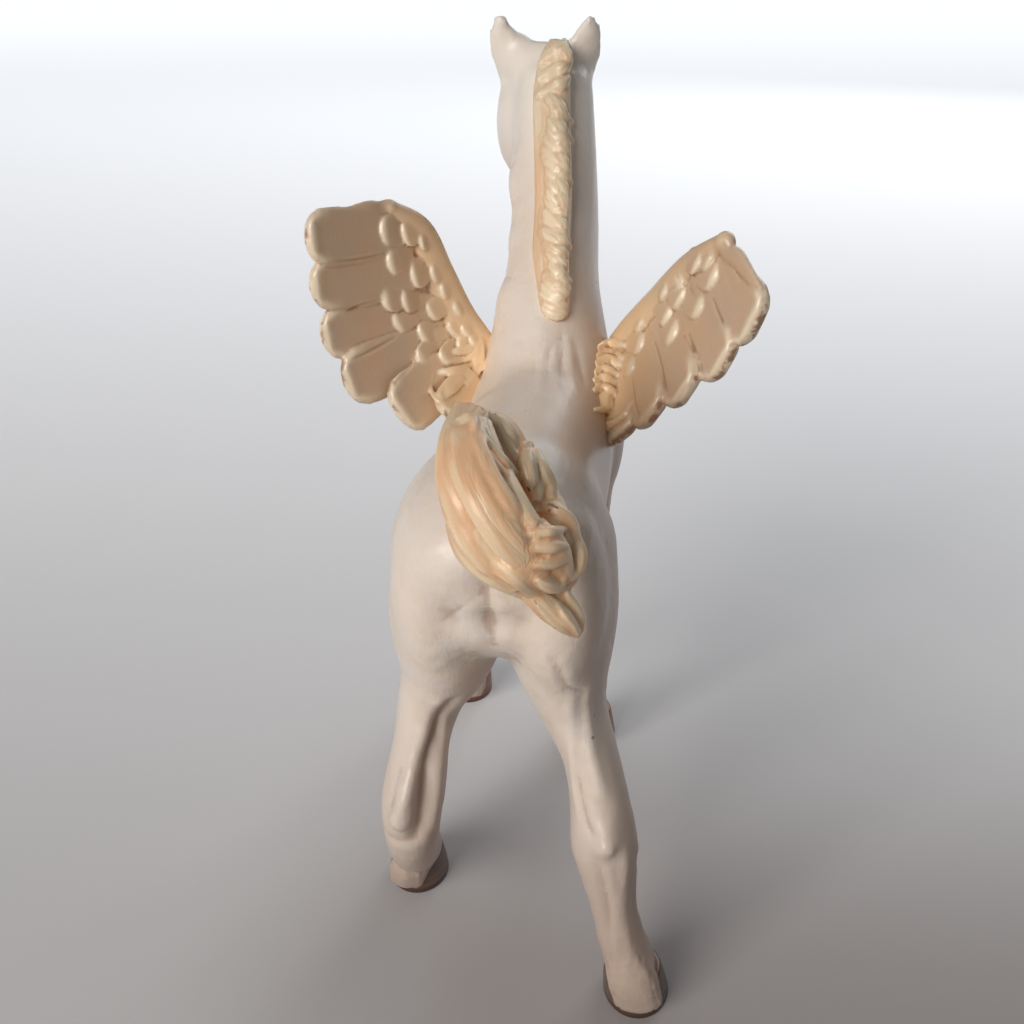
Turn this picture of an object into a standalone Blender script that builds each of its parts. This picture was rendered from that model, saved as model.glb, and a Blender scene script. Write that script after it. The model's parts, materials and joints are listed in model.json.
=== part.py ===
"""A winged foal figurine, moulded in one piece of soft vinyl.

The foal faces +Y, +X is its right-hand side and +Z is up. The origin is on the floor, under
the middle of the figure. Every part of the body is a run of oval sections along a line, and
the parts are melted together into one closed solid that stands on four flat soles.
Lengths are in millimetres in the tables and in metres in the mesh.
"""

import math

import bmesh
import bpy
import numpy as np

MM = 0.001

# Trunk
RUMP_Y = -28.4
CHEST_Y = 16.6
CROUP_Z = 53.4
BACK_Z = 52.0
WITHERS_Z = 54.4
BELLY_Z = 33.4
FLANK_Z = 34.6
RUMP_WIDTH = 17.6
LOIN_WIDTH = 15.6
BARREL_WIDTH = 15.2
CHEST_WIDTH = 13.8

# Neck and head
NECK_BASE_Y = 7.6
NECK_LENGTH = 34.3
NECK_SLOPE = math.radians(63.5)
NECK_BASE_DEPTH = 19.0
NECK_MIDDLE_DEPTH = 12.4
NECK_TOP_DEPTH = 10.4
NECK_WIDTH = 9.2
HEAD_LENGTH = 22.5
HEAD_SLOPE = math.radians(-46.0)
HEAD_WIDTH = 10.4
JOWL_DEPTH = 10.8
MUZZLE_WIDTH = 6.0
EAR_WIDTH = 3.9
LEFT_EAR_REACH = (-6.1, -1.3, 6.6)
RIGHT_EAR_REACH = (3.7, -1.9, 6.5)

# Legs: how wide and deep they are against the sections measured on the figure
HIND_LEG_GIRTH = 1.0
FORE_LEG_GIRTH = 1.0
HIND_RIGHT_SOLE = (12.7, -23.8)
HIND_LEFT_SOLE = (-10.6, -11.8)
FORE_RIGHT_SOLE = (6.4, 13.4)
FORE_LEFT_SOLE = (-10.4, 20.4)
FORE_KNEE_Z = 20.6
FETLOCK_Z = 8.2
CORONET_Z = 4.2
KNEE_WIDTH = 4.9
FORE_CANNON_WIDTH = 3.6
FETLOCK_WIDTH = 4.5
HOOF_WIDTH = 6.2
HOOF_LENGTH = 7.2
SOLE_SINK = 0.8

# Wings
WING_ROOT_Y = 8.8
ARM_WIDTH = 4.6
FEATHER_THICKNESS = 1.5
WEB_THICKNESS = 1.3
ARM_THICKNESS = 2.8
COVERT_LENGTH = 4.4
COVERT_WIDTH = 3.0
COVERT_THICKNESS = 0.9
COVERT_ROWS = 3
COVERTS_IN_ROW = 6

# Mane and tail
MANE_LOCKS = 13
MANE_LOCK_WIDTH = 3.0
MANE_THICKNESS = 1.9
TAIL_LOCK_GIRTH = 1.0

# How finely the parts are melted together, and how many triangles stay
SKIN_VOXEL = 0.6
SKIN_SMOOTHING = 5
VOXEL = 0.42
TRIANGLES = 11800

RIGHT = np.array((1.0, 0.0, 0.0))

# Sections of the hind legs from the hip down to the coronet: x, y, z, width, front, back
HIND_RIGHT_LEG = (
    (4.3, -18.6, 46.0, 8.8, 6.8, 7.4),
    (4.6, -18.8, 40.0, 9.2, 6.9, 8.4),
    (4.6, -18.9, 37.0, 9.0, 6.3, 8.1),
    (4.8, -19.4, 34.2, 8.2, 5.6, 7.3),
    (5.3, -20.1, 32.0, 6.8, 4.8, 6.3),
    (6.1, -21.1, 29.7, 5.6, 4.0, 5.2),
    (7.5, -22.8, 27.0, 4.8, 3.2, 4.1),
    (8.5, -24.8, 23.6, 5.2, 2.7, 3.4),
    (9.0, -25.7, 20.4, 5.9, 2.7, 3.1),
    (9.4, -25.9, 17.6, 5.2, 2.3, 2.6),
    (10.1, -26.0, 13.2, 4.3, 1.9, 2.0),
    (10.9, -25.9, 9.4, 4.4, 2.1, 2.3),
    (11.7, -24.9, 5.8, 4.8, 2.2, 2.3),
    (12.2, -24.2, 3.2, 5.0, 2.4, 2.4),
)
HIND_LEFT_LEG = (
    (-4.4, -18.2, 46.0, 9.2, 6.8, 7.4),
    (-5.0, -18.2, 40.0, 9.8, 6.9, 8.4),
    (-5.0, -18.2, 37.0, 9.6, 6.3, 8.2),
    (-5.2, -18.5, 34.2, 8.8, 5.6, 7.4),
    (-5.7, -19.0, 32.0, 7.4, 4.8, 6.3),
    (-6.6, -19.8, 29.7, 5.8, 4.0, 5.1),
    (-7.2, -21.6, 26.6, 4.9, 3.2, 3.9),
    (-7.5, -22.9, 24.0, 5.4, 2.7, 3.3),
    (-7.9, -24.0, 21.0, 5.6, 2.7, 2.9),
    (-8.2, -23.4, 17.4, 5.1, 2.3, 3.0),
    (-8.8, -20.2, 12.4, 4.9, 1.9, 2.9),
    (-9.5, -16.4, 8.6, 4.9, 2.1, 2.7),
    (-10.1, -13.8, 5.6, 5.0, 2.2, 2.3),
    (-10.4, -12.5, 3.2, 5.0, 2.4, 2.4),
)

# Each flight feather from the wrist down to the shoulder, counted from the withers: its place on
# the arm, its base, its tip, the edge of the web beside it, and its width
LEFT_WING = (
    ((-14.4, -2.4, 11.2), (-13.4, -2.2, 9.2), (-20.7, -8.8, 10.0), (-19.8, -7.8, 10.6), 5.4),
    ((-12.4, -1.4, 8.6), (-11.6, -1.8, 5.4), (-20.7, -8.8, 5.6), (-19.8, -8.0, 7.6), 5.4),
    ((-10.6, -0.4, 4.6), (-10.0, -1.8, 1.8), (-20.2, -8.4, 0.6), (-19.4, -7.8, 2.9), 5.8),
    ((-8.6, 0.4, 0.4), (-8.4, -2.2, -1.4), (-18.4, -8.4, -3.9), (-17.4, -7.6, -2.0), 6.2),
    ((-6.4, 0.4, -3.0), (-7.0, -2.6, -3.6), (-12.6, -7.6, -8.0), (-11.0, -6.8, -6.8), 6.2),
    ((-5.6, -0.4, -5.0), (-5.8, -2.8, -4.4), (-8.8, -6.4, -7.8), (-6.6, -5.2, -7.0), 4.8),
)
RIGHT_WING = (
    ((16.6, -10.6, 10.8), (14.6, -8.0, 8.0), (19.3, -16.6, 5.7), (18.2, -14.8, 7.9), 6.2),
    ((14.6, -6.8, 7.2), (12.8, -6.0, 4.8), (17.2, -15.6, 1.8), (17.6, -15.2, 3.4), 6.0),
    ((12.0, -3.4, 2.8), (10.8, -4.2, 1.6), (14.2, -14.2, -1.5), (15.0, -14.4, 0.2), 5.6),
    ((9.4, -1.0, -1.0), (9.0, -3.2, -1.4), (11.4, -12.2, -4.6), (12.2, -12.4, -3.0), 5.6),
    ((6.8, 0.2, -4.0), (7.4, -3.2, -3.6), (8.4, -9.8, -8.0), (8.4, -9.6, -6.6), 5.6),
    ((5.8, -0.6, -5.4), (6.2, -3.4, -4.8), (6.6, -7.8, -8.8), (6.0, -6.8, -7.6), 4.6),
)

# Each lock of the tail: how wide and how thick it is, then its points, counted from the tail's root
TAIL_LOCKS = (
    (4.4, 3.4, (0.0, 0.4, -0.4), (-0.7, -0.4, 3.0), (-1.2, -1.6, 6.2), (-1.1, -3.2, 8.2)),
    (3.6, 2.8, (0.0, 0.0, 0.6), (0.1, -1.4, 3.6), (0.3, -2.6, 6.0), (0.1, -3.6, 7.8)),
    (2.5, 2.0, (-1.2, -3.8, 8.8), (-2.2, -5.6, 7.5), (-2.3, -7.0, 5.8), (-1.6, -8.2, 4.1)),
    (2.5, 2.0, (-1.6, -8.2, 4.1), (-0.4, -9.0, 2.4), (1.2, -9.2, 1.0), (3.1, -8.4, -0.9)),
    (2.6, 2.0, (-1.1, -4.4, 8.9), (-1.3, -7.2, 7.4), (-0.8, -9.0, 5.7), (0.4, -10.0, 4.0)),
    (2.6, 2.0, (0.4, -10.0, 4.0), (1.8, -10.2, 2.1), (3.3, -9.4, 0.0)),
    (2.5, 2.0, (-0.9, -4.8, 8.8), (-0.2, -8.0, 7.5), (0.8, -10.0, 6.1), (2.1, -10.7, 4.4)),
    (2.5, 2.0, (2.1, -10.7, 4.4), (3.4, -10.5, 2.4), (4.5, -9.4, 0.4)),
    (2.4, 2.0, (-0.7, -4.6, 8.8), (0.4, -7.4, 7.4), (1.9, -9.4, 6.0), (3.5, -10.2, 4.6)),
    (2.4, 2.0, (3.5, -10.2, 4.6), (4.6, -9.8, 2.9), (5.2, -9.0, 1.2)),
    (2.4, 2.0, (-0.6, -3.0, 8.2), (0.6, -4.4, 6.8), (1.8, -5.8, 5.5), (3.3, -7.4, 3.9)),
    (1.8, 1.7, (-0.7, -3.4, 8.8), (0.6, -3.0, 8.1), (1.6, -3.7, 7.1), (2.4, -4.5, 6.1)),
    (2.0, 1.8, (2.3, -4.3, 6.2), (3.2, -5.4, 5.0), (4.3, -6.6, 4.2), (5.3, -7.6, 2.8)),
    (2.2, 1.9, (5.1, -7.4, 3.2), (5.5, -7.8, 1.8), (5.1, -8.2, 0.2), (4.3, -8.4, -0.6)),
    (1.5, 1.5, (2.5, -4.7, 7.2), (2.8, -5.5, 6.4), (3.1, -6.4, 5.6), (3.3, -7.1, 4.8)),
    (2.4, 1.9, (3.1, -8.8, -0.2), (4.4, -8.7, -1.4), (5.3, -8.2, -2.6), (6.0, -7.5, -4.1)),
)


def unit(vector):
    """The vector at length one."""
    vector = np.asarray(vector, float)
    return vector / np.linalg.norm(vector)


def between(a, b, share):
    """The point that lies this share of the way from a to b."""
    return (1 - share) * np.asarray(a, float) + share * np.asarray(b, float)


def smooth_rows(rows, steps):
    """A Catmull-Rom curve through the rows, with this many steps from each to the next."""
    rows = np.asarray(rows, float)
    padded = np.vstack((2 * rows[0] - rows[1], rows, 2 * rows[-1] - rows[-2]))
    found = []
    for i in range(len(rows) - 1):
        a, b, c, d = padded[i : i + 4]
        for t in np.arange(steps) / steps:
            cubic = 3 * b - a - 3 * c + d
            found.append(b + t / 2 * (c - a + t * (2 * a - 5 * b + 4 * c - d + t * cubic)))
    found.append(rows[-1])
    return np.array(found)


def tube(rows, side=None, facing=None, sides=20, steps=4, boxy=2.0):
    """A closed skin of oval sections, as (points, faces).

    Each row is x, y, z, half width, half depth in front and half depth behind. The width lies
    along side, or else at right angles to facing. boxy is 2 for an ellipse and more for a
    section with fuller corners.
    """
    rows = smooth_rows(rows, steps)
    rows[:, 3:] = np.maximum(rows[:, 3:], 0.05)
    middles = rows[:, :3]
    along = np.gradient(middles, axis=0)
    along /= np.linalg.norm(along, axis=1)[:, None]
    angles = np.arange(sides) * math.tau / sides
    reach = 2 / boxy
    across = np.sign(np.cos(angles)) * np.abs(np.cos(angles)) ** reach
    out = np.sign(np.sin(angles)) * np.abs(np.sin(angles)) ** reach
    points = []
    for middle, way, (wide, front, back) in zip(middles, along, rows[:, 3:]):
        if side is None:
            width = unit(np.cross(way, facing))
        else:
            width = unit(side - np.dot(side, way) * way)
        depth = np.cross(width, way)
        reach_out = np.where(out > 0, front, back) * out
        points.extend(middle + np.outer(wide * across, width) + np.outer(reach_out, depth))
    last = len(rows) - 1
    faces = []
    for i in range(last):
        for j in range(sides):
            k = (j + 1) % sides
            faces.append((i * sides + j, (i + 1) * sides + j, (i + 1) * sides + k, i * sides + k))
    faces.append(tuple(range(sides)))
    faces.append(tuple(last * sides + j for j in reversed(range(sides))))
    return np.array(points), faces


def sheet(edge, far_edge, facing, thickness, steps=6):
    """A closed plate between two edges that have as many points, this thick along facing."""
    edge, far_edge = np.asarray(edge, float), np.asarray(far_edge, float)
    grid = np.array([between(edge, far_edge, share) for share in np.linspace(0, 1, steps)])
    lift = unit(facing) * thickness / 2
    rows, columns = grid.shape[:2]
    points = np.vstack((grid.reshape(-1, 3) + lift, grid.reshape(-1, 3) - lift))
    under = rows * columns
    faces = []
    for i in range(rows - 1):
        for j in range(columns - 1):
            a = i * columns + j
            quad = (a, a + 1, a + columns + 1, a + columns)
            faces.append(quad)
            faces.append(tuple(under + corner for corner in reversed(quad)))
    rim = [j for j in range(columns)]
    rim += [i * columns + columns - 1 for i in range(1, rows)]
    rim += [(rows - 1) * columns + j for j in reversed(range(columns - 1))]
    rim += [i * columns for i in reversed(range(1, rows - 1))]
    for a, b in zip(rim, rim[1:] + rim[:1]):
        faces.append((b, a, a + under, b + under))
    return points, faces


def blade(base, tip, width, thickness, facing, tilt=0.0, sag=0.0, sides=12):
    """A feather: narrow at its base, full towards its end, with a broad round tip."""
    base, tip = np.asarray(base, float), np.asarray(tip, float)
    way = unit(tip - base)
    side = unit(np.cross(way, facing))
    lift = np.cross(side, way)
    side = math.cos(tilt) * side + math.sin(tilt) * lift
    outline = ((0.0, 0.6), (0.25, 0.84), (0.5, 0.98), (0.75, 1.0), (0.9, 0.82), (0.97, 0.5), (1.0, 0.16))
    rows = []
    for share, full in outline:
        middle = between(base, tip, share) - lift * sag * math.sin(math.pi * share)
        half = thickness / 2 * (0.6 + 0.4 * full)
        rows.append((*middle, width / 2 * full, half, half))
    return tube(rows, side, None, sides, 3, 2.6)


def strand(points, widths, thickness, side=None, facing=None, sides=12):
    """A lock of hair that follows a curve through the points, as wide there as the widths say."""
    rows = [(*point, wide / 2, thickness / 2, thickness / 2) for point, wide in zip(points, widths)]
    return tube(rows, side, facing, sides, 5, 2.2)


def lump(middle, radii):
    """A muscle, as an egg-shaped swelling with these half sizes along X, Y and Z."""
    x, y, z = middle
    wide, long, high = radii
    shares = (-0.98, -0.8, -0.45, 0.0, 0.45, 0.8, 0.98)
    rows = []
    for share in shares:
        girth = math.sqrt(1 - share**2)
        rows.append((x, y, z + high * share, wide * girth, long * girth, long * girth))
    return tube(rows, RIGHT, None, 16, 2)


def mesh_of(name, shells):
    """One object that holds all these skins, in metres."""
    points, faces, count = [], [], 0
    for places, sides in shells:
        points.extend(places * MM)
        faces.extend(tuple(count + corner for corner in face) for face in sides)
        count += len(places)
    mesh = bpy.data.meshes.new(name)
    mesh.from_pydata([tuple(p) for p in points], [], faces)
    shape = bmesh.new()
    shape.from_mesh(mesh)
    bmesh.ops.recalc_face_normals(shape, faces=shape.faces)
    shape.to_mesh(mesh)
    shape.free()
    made = bpy.data.objects.new(name, mesh)
    bpy.context.scene.collection.objects.link(made)
    return made


def trunk():
    """Barrel, rump and chest, by their back line, belly line and width."""
    length = CHEST_Y - RUMP_Y
    lines = (
        (0.005, CROUP_Z - 5.6, FLANK_Z + 9.4, 0.40 * RUMP_WIDTH),
        (0.035, CROUP_Z - 2.4, FLANK_Z + 6.4, 0.68 * RUMP_WIDTH),
        (0.11, CROUP_Z - 0.4, FLANK_Z + 3.2, 0.92 * RUMP_WIDTH),
        (0.22, CROUP_Z, FLANK_Z + 0.6, RUMP_WIDTH),
        (0.36, CROUP_Z - 0.8, FLANK_Z, LOIN_WIDTH),
        (0.52, BACK_Z, BELLY_Z + 0.4, BARREL_WIDTH),
        (0.66, BACK_Z + 0.2, BELLY_Z, BARREL_WIDTH),
        (0.77, WITHERS_Z - 0.8, BELLY_Z - 0.2, 0.98 * BARREL_WIDTH),
        (0.87, WITHERS_Z - 0.8, BELLY_Z + 0.8, CHEST_WIDTH),
        (0.95, WITHERS_Z - 4.0, BELLY_Z + 2.4, 0.80 * CHEST_WIDTH),
        (1.0, WITHERS_Z - 9.0, BELLY_Z + 6.4, 0.42 * CHEST_WIDTH),
    )
    rows = []
    for share, top, bottom, width in lines:
        half = (top - bottom) / 2
        middle = float(np.interp(share, (0.0, 0.25, 0.6, 1.0), (-0.5, -0.4, 0.1, 0.6)))
        place = (middle, RUMP_Y + share * length, (top + bottom) / 2)
        rows.append((*place, width / 2, half, half))
    return [tube(rows, RIGHT, None, 28, 4, 2.15)]


def neck_point(along, back=0.0, across=0.0):
    """A point on the neck's line, this far from its base, and back from the line to the crest."""
    way = np.array((0.0, math.cos(NECK_SLOPE), math.sin(NECK_SLOPE)))
    crest = np.array((0.0, -way[2], way[1]))
    base = np.array((0.0, NECK_BASE_Y, WITHERS_Z - NECK_BASE_DEPTH / 2))
    sway = float(np.interp(along / NECK_LENGTH, (0.0, 0.6, 1.0), (0.7, 0.6, -0.3)))
    return base + along * way + back * crest + (across + sway) * RIGHT


def neck_half_depth(share):
    """Half the neck's depth at this share of its length."""
    depths = (NECK_BASE_DEPTH, NECK_MIDDLE_DEPTH, NECK_TOP_DEPTH)
    return float(np.interp(share, (0.0, 0.55, 1.0), depths)) / 2


def neck():
    """The neck rises from broad shoulders to the poll, narrow at the throat."""
    widths = ((0.0, 1.5), (0.16, 1.42), (0.3, 1.2), (0.42, 1.03), (0.6, 0.96), (0.82, 0.92), (1.0, 0.86))
    rows = []
    for share, fullness in widths:
        half = neck_half_depth(share)
        place = neck_point(share * NECK_LENGTH)
        rows.append((*place, fullness * NECK_WIDTH / 2, half, half))
    return [tube(rows, RIGHT, None, 24, 4)]


def head_point(along, front=0.0, across=0.0):
    """A point this far down the head from the poll, and forward from its line to the face."""
    way = unit((-0.06, math.cos(HEAD_SLOPE), math.sin(HEAD_SLOPE)))
    face = np.array((0.0, -math.sin(HEAD_SLOPE), math.cos(HEAD_SLOPE)))
    return neck_point(NECK_LENGTH, -0.6, -1.0) + along * way + front * face + across * RIGHT


def head():
    """Skull, round jowls, straight nose and soft muzzle, then eyelids and the two ears."""
    jowl = JOWL_DEPTH
    sections = (
        (-0.09, 0.44 * HEAD_WIDTH, 0.16 * jowl, 0.24 * jowl),
        (0.02, 0.84 * HEAD_WIDTH, 0.33 * jowl, 0.44 * jowl),
        (0.18, 0.99 * HEAD_WIDTH, 0.41 * jowl, 0.58 * jowl),
        (0.33, 0.97 * HEAD_WIDTH, 0.41 * jowl, 0.58 * jowl),
        (0.48, 0.80 * HEAD_WIDTH, 0.35 * jowl, 0.46 * jowl),
        (0.62, 1.06 * MUZZLE_WIDTH, 0.27 * jowl, 0.32 * jowl),
        (0.78, 1.02 * MUZZLE_WIDTH, 0.24 * jowl, 0.28 * jowl),
        (0.89, 1.04 * MUZZLE_WIDTH, 0.24 * jowl, 0.27 * jowl),
        (0.96, 0.86 * MUZZLE_WIDTH, 0.18 * jowl, 0.22 * jowl),
        (1.0, 0.44 * MUZZLE_WIDTH, 0.08 * jowl, 0.10 * jowl),
    )
    rows = []
    for share, width, front, back in sections:
        rows.append((*head_point(share * HEAD_LENGTH), width / 2, front, back))
    shells = [tube(rows, RIGHT, None, 24, 4, 2.2)]
    for hand, reach in ((-1, LEFT_EAR_REACH), (1, RIGHT_EAR_REACH)):
        lid = head_point(0.33 * HEAD_LENGTH, 0.13 * jowl, hand * 0.41 * HEAD_WIDTH)
        shells.append(lump(lid, (1.1, 1.6, 1.5)))
        nostril = head_point(0.91 * HEAD_LENGTH, 0.07 * jowl, hand * 0.33 * MUZZLE_WIDTH)
        shells.append(lump(nostril, (1.1, 1.1, 1.2)))
        shells.append(ear(hand, neck_point(NECK_LENGTH) + reach))
    return shells


def ear(hand, tip):
    """One upright ear, flared outwards, with its open side turned forward and out."""
    root = head_point(0.05 * HEAD_LENGTH, 0.1 * JOWL_DEPTH, hand * 0.25 * HEAD_WIDTH)
    sections = (
        (0.0, 0.96, 1.7),
        (0.25, 1.0, 1.4),
        (0.5, 0.98, 1.1),
        (0.75, 0.8, 0.85),
        (0.92, 0.48, 0.7),
        (1.0, 0.16, 0.45),
    )
    rows = []
    for share, full, thick in sections:
        middle = between(root, tip, share) + hand * RIGHT * 0.5 * math.sin(math.pi * share)
        rows.append((*middle, full * EAR_WIDTH / 2, thick, thick))
    return tube(rows, unit((1.0, 0.35 * hand, 0.0)), None, 14, 3)


def hoof(sole, lean):
    """A hoof under its coronet, sunk a little so that the floor cuts its sole flat."""
    x, y = sole
    top = (x - lean, y - 1.3, CORONET_Z + 0.5)
    bottom = (x, y, -SOLE_SINK)
    wide, long = HOOF_WIDTH / 2, HOOF_LENGTH / 2
    rows = (
        (*top, 0.84 * wide, 0.74 * long, 0.74 * long),
        (*between(top, bottom, 0.5), 0.93 * wide, 0.87 * long, 0.87 * long),
        (*bottom, wide, long, long),
    )
    return tube(rows, RIGHT, None, 24, 3, 2.3)


def fetlock_tuft(fetlock, sole):
    """The long hair behind the fetlock, which hangs over the heel and stops above the floor."""
    start = np.array(fetlock) + (0.0, -0.9, 1.6)
    end = np.array((sole[0], sole[1] - 0.44 * HOOF_LENGTH, 0.9))
    middle = between(start, end, 0.55) + (0.0, -0.5, 0.0)
    rows = (
        (*start, 1.4, 0.9, 0.9),
        (*between(start, middle, 0.6), 2.0, 1.4, 1.3),
        (*middle, 2.5, 1.6, 1.4),
        (*between(middle, end, 0.7), 2.6, 1.3, 1.0),
        (*end, 2.0, 0.9, 0.7),
    )
    return tube(rows, RIGHT, None, 16, 3)


def hind_leg(sections, sole):
    """Thigh, gaskin, hock, cannon and pastern down to one hind hoof."""
    rows = []
    for x, y, z, width, front, back in sections:
        girth = HIND_LEG_GIRTH
        rows.append((x, y, z, girth * width / 2, girth * front, girth * back))
    x, y, z = sections[8][:3]
    heel = lump((x, y - 2.2, z + 1.6), (1.3, 1.2, 2.8))
    x, y, z = sections[1][:3]
    buttock = lump((x, y - 4.2, z + 2.4), (3.9, 5.2, 8.6))
    fetlock = sections[11][:3]
    lean = sole[0] - sections[13][0]
    return [tube(rows, RIGHT, None, 20, 4), hoof(sole, lean), heel, buttock, fetlock_tuft(fetlock, sole)]


def fore_leg(sole, shoulder_x):
    """Shoulder, forearm, knee, cannon and pastern down to one fore hoof."""
    hand = math.copysign(1, sole[0])
    shoulder_z = WITHERS_Z - 12.0
    spread = (abs(sole[0]) - shoulder_x) / shoulder_z
    elbow_z = BELLY_Z + 2.0
    knee_y = between(CHEST_Y - 8.0, sole[1] - 2.6, 0.42) + 0.6
    knee, cannon, fetlock = KNEE_WIDTH, FORE_CANNON_WIDTH, FETLOCK_WIDTH
    lines = (
        (CHEST_Y - 7.0, shoulder_z, 7.2, 5.2, 5.4),
        (CHEST_Y - 7.8, elbow_z + 2.8, 7.4, 4.8, 5.4),
        (CHEST_Y - 8.2, elbow_z - 0.8, 6.6, 3.9, 4.6),
        (between(CHEST_Y - 8.4, knee_y, 0.4), between(elbow_z, FORE_KNEE_Z, 0.4), 5.4, 3.0, 3.3),
        (between(CHEST_Y - 8.4, knee_y, 0.72), between(elbow_z, FORE_KNEE_Z, 0.72), 4.4, 2.3, 2.4),
        (knee_y, FORE_KNEE_Z, knee, 2.5, 2.3),
        (knee_y + 0.2, FORE_KNEE_Z - 2.4, 0.86 * knee, 2.0, 2.1),
        (between(knee_y, sole[1] - 2.8, 0.5), between(FORE_KNEE_Z, FETLOCK_Z, 0.5), cannon, 1.7, 1.8),
        (sole[1] - 2.9, FETLOCK_Z, fetlock, 2.0, 2.3),
        (sole[1] - 2.0, between(FETLOCK_Z, CORONET_Z, 0.6), 0.92 * fetlock, 1.9, 2.1),
        (sole[1] - 1.2, CORONET_Z - 1.0, 1.1 * fetlock, 2.4, 2.4),
    )
    rows = []
    for y, z, width, front, back in lines:
        x = hand * (shoulder_x + spread * (shoulder_z - z))
        girth = FORE_LEG_GIRTH
        rows.append((x, float(y), float(z), girth * width / 2, girth * front, girth * back))
    shoulder = lump((hand * 0.36 * CHEST_WIDTH + 0.3, CHEST_Y - 6.8, WITHERS_Z - 12.5), (3.6, 5.0, 7.6))
    breast = lump((hand * 0.2 * CHEST_WIDTH + 0.3, CHEST_Y - 4.2, BELLY_Z + 8.6), (3.3, 3.6, 7.2))
    tuft = fetlock_tuft(rows[8][:3], sole)
    return [tube(rows, RIGHT, None, 20, 4), hoof(sole, sole[0] - rows[10][0]), shoulder, breast, tuft]


def wing(feathers):
    """One wing: its arm, the flight feathers in a fan over a thin web, and rows of coverts."""
    withers = np.array((0.0, WING_ROOT_Y, WITHERS_Z))
    arm, bases, tips, web = (withers + np.array(line) for line in list(zip(*feathers))[:4])
    widths = [feather[4] for feather in feathers]
    facing = unit(np.cross(arm[0] - arm[-1], tips[2] - bases[2]))
    facing *= -np.sign(facing[1])
    arm_rows = []
    for point, fullness in zip(arm, (0.6, 0.76, 0.88, 0.96, 1.0, 1.0)):
        arm_rows.append((*point, fullness * ARM_WIDTH / 2, ARM_THICKNESS / 2, ARM_THICKNESS / 2))
    shells = [tube(arm_rows, unit(tips[2] - bases[2]), None, 14, 4)]
    shells.append(sheet(arm, web, facing, WEB_THICKNESS))
    for base, tip, width in zip(bases, tips, widths):
        shells.append(blade(base, tip, width, FEATHER_THICKNESS, facing, math.radians(10), 0.4))
    counts = range(len(bases))
    for row in range(COVERT_ROWS):
        for k in range(COVERTS_IN_ROW):
            share = (k + 0.5 * (row % 2)) / (COVERTS_IN_ROW - 0.4)
            spot = share * (len(bases) - 1)
            hinge = np.array([np.interp(spot, counts, axis) for axis in np.transpose(arm)])
            tip = np.array([np.interp(spot, counts, axis) for axis in np.transpose(tips)])
            start = between(hinge, tip, 0.02 + 0.13 * row)
            way = unit(tip - start)
            for face in (-1, 1):
                lift = face * facing * (0.4 * FEATHER_THICKNESS + 0.16 * (COVERT_ROWS - row))
                root = start + lift
                end = root + way * COVERT_LENGTH
                shells.append(blade(root, end, COVERT_WIDTH, COVERT_THICKNESS, face * facing))
    return shells


def mane():
    """Locks along the crest from the poll to the withers, combed over to the right."""
    spread = np.random.default_rng(4)
    shells = []
    for k in range(MANE_LOCKS):
        share = 1.0 - 0.66 * k / (MANE_LOCKS - 1)
        half = neck_half_depth(share)
        along = share * NECK_LENGTH
        aside = float(np.interp(share, (0.3, 0.6, 1.0), (0.4, -0.2, 0.3)))
        swing = aside + 0.25 * math.sin(2.1 * k) + spread.uniform(-0.15, 0.15)
        top = MANE_THICKNESS
        points = (
            neck_point(along + 0.8, half - 0.7, aside - 1.1),
            neck_point(along + 0.5, half + 0.3 * top, aside - 0.6),
            neck_point(along - 0.4, half + 0.5 * top, 0.4 + swing),
            neck_point(along - 1.6, half + 0.2 * top, 1.3 + swing),
            neck_point(along - 3.2, half - 0.5 * top, 2.0 + swing),
        )
        widths = MANE_LOCK_WIDTH * np.array((0.8, 1.0, 1.0, 0.8, 0.3))
        shells.append(strand(points, widths, 0.75 * MANE_THICKNESS, neck_point(1) - neck_point(0)))
    for hand, reach in ((-0.6, 5.0), (0.5, 6.5), (0.0, 7.5)):
        points = (
            head_point(-0.06 * HEAD_LENGTH, 0.1 * JOWL_DEPTH, 0.4 * hand),
            head_point(0.3, 0.36 * JOWL_DEPTH, 0.8 * hand),
            head_point(0.5 * reach, 0.46 * JOWL_DEPTH, 1.6 * hand),
            head_point(reach, 0.44 * JOWL_DEPTH, 2.2 * hand),
        )
        shells.append(strand(points, (2.4, 2.8, 2.2, 0.6), 1.3, RIGHT))
    return shells


def tail():
    """A thick plume that lifts off the croup, turns over and curls in at its lower end."""
    root = np.array((0.3, RUMP_Y + 2.6, CROUP_Z - 2.6))
    shells = [lump(root, (1.9, 1.9, 2.2))]
    for width, thickness, *reaches in TAIL_LOCKS:
        points = root + np.array(reaches)
        taper = np.interp(np.linspace(0, 1, len(points)), (0, 0.3, 0.8, 1), (0.8, 1.0, 0.95, 0.6))
        girth = TAIL_LOCK_GIRTH
        shells.append(strand(points, girth * width * taper, girth * thickness, None, (0.2, -0.8, 0.55)))
    return shells


def only(made):
    """Selects this object alone and makes it active."""
    for other in bpy.context.scene.objects:
        other.select_set(other == made)
    bpy.context.view_layer.objects.active = made


def melt(made, voxel, smoothing):
    """Melts the overlapping skins into one, then softens the creases between them."""
    only(made)
    melting = made.modifiers.new("melt", "REMESH")
    melting.mode = "VOXEL"
    melting.voxel_size = voxel * MM
    bpy.ops.object.modifier_apply(modifier=melting.name)
    if smoothing:
        soften = made.modifiers.new("soften", "SMOOTH")
        soften.factor = 0.5
        soften.iterations = smoothing
        bpy.ops.object.modifier_apply(modifier=soften.name)


def thin_out(made):
    """Keeps the triangles that hold the shape, down to the wanted number."""
    only(made)
    made.data.calc_loop_triangles()
    thinning = made.modifiers.new("thin_out", "DECIMATE")
    thinning.ratio = min(1.0, TRIANGLES / len(made.data.loop_triangles))
    bpy.ops.object.modifier_apply(modifier=thinning.name)


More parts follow.
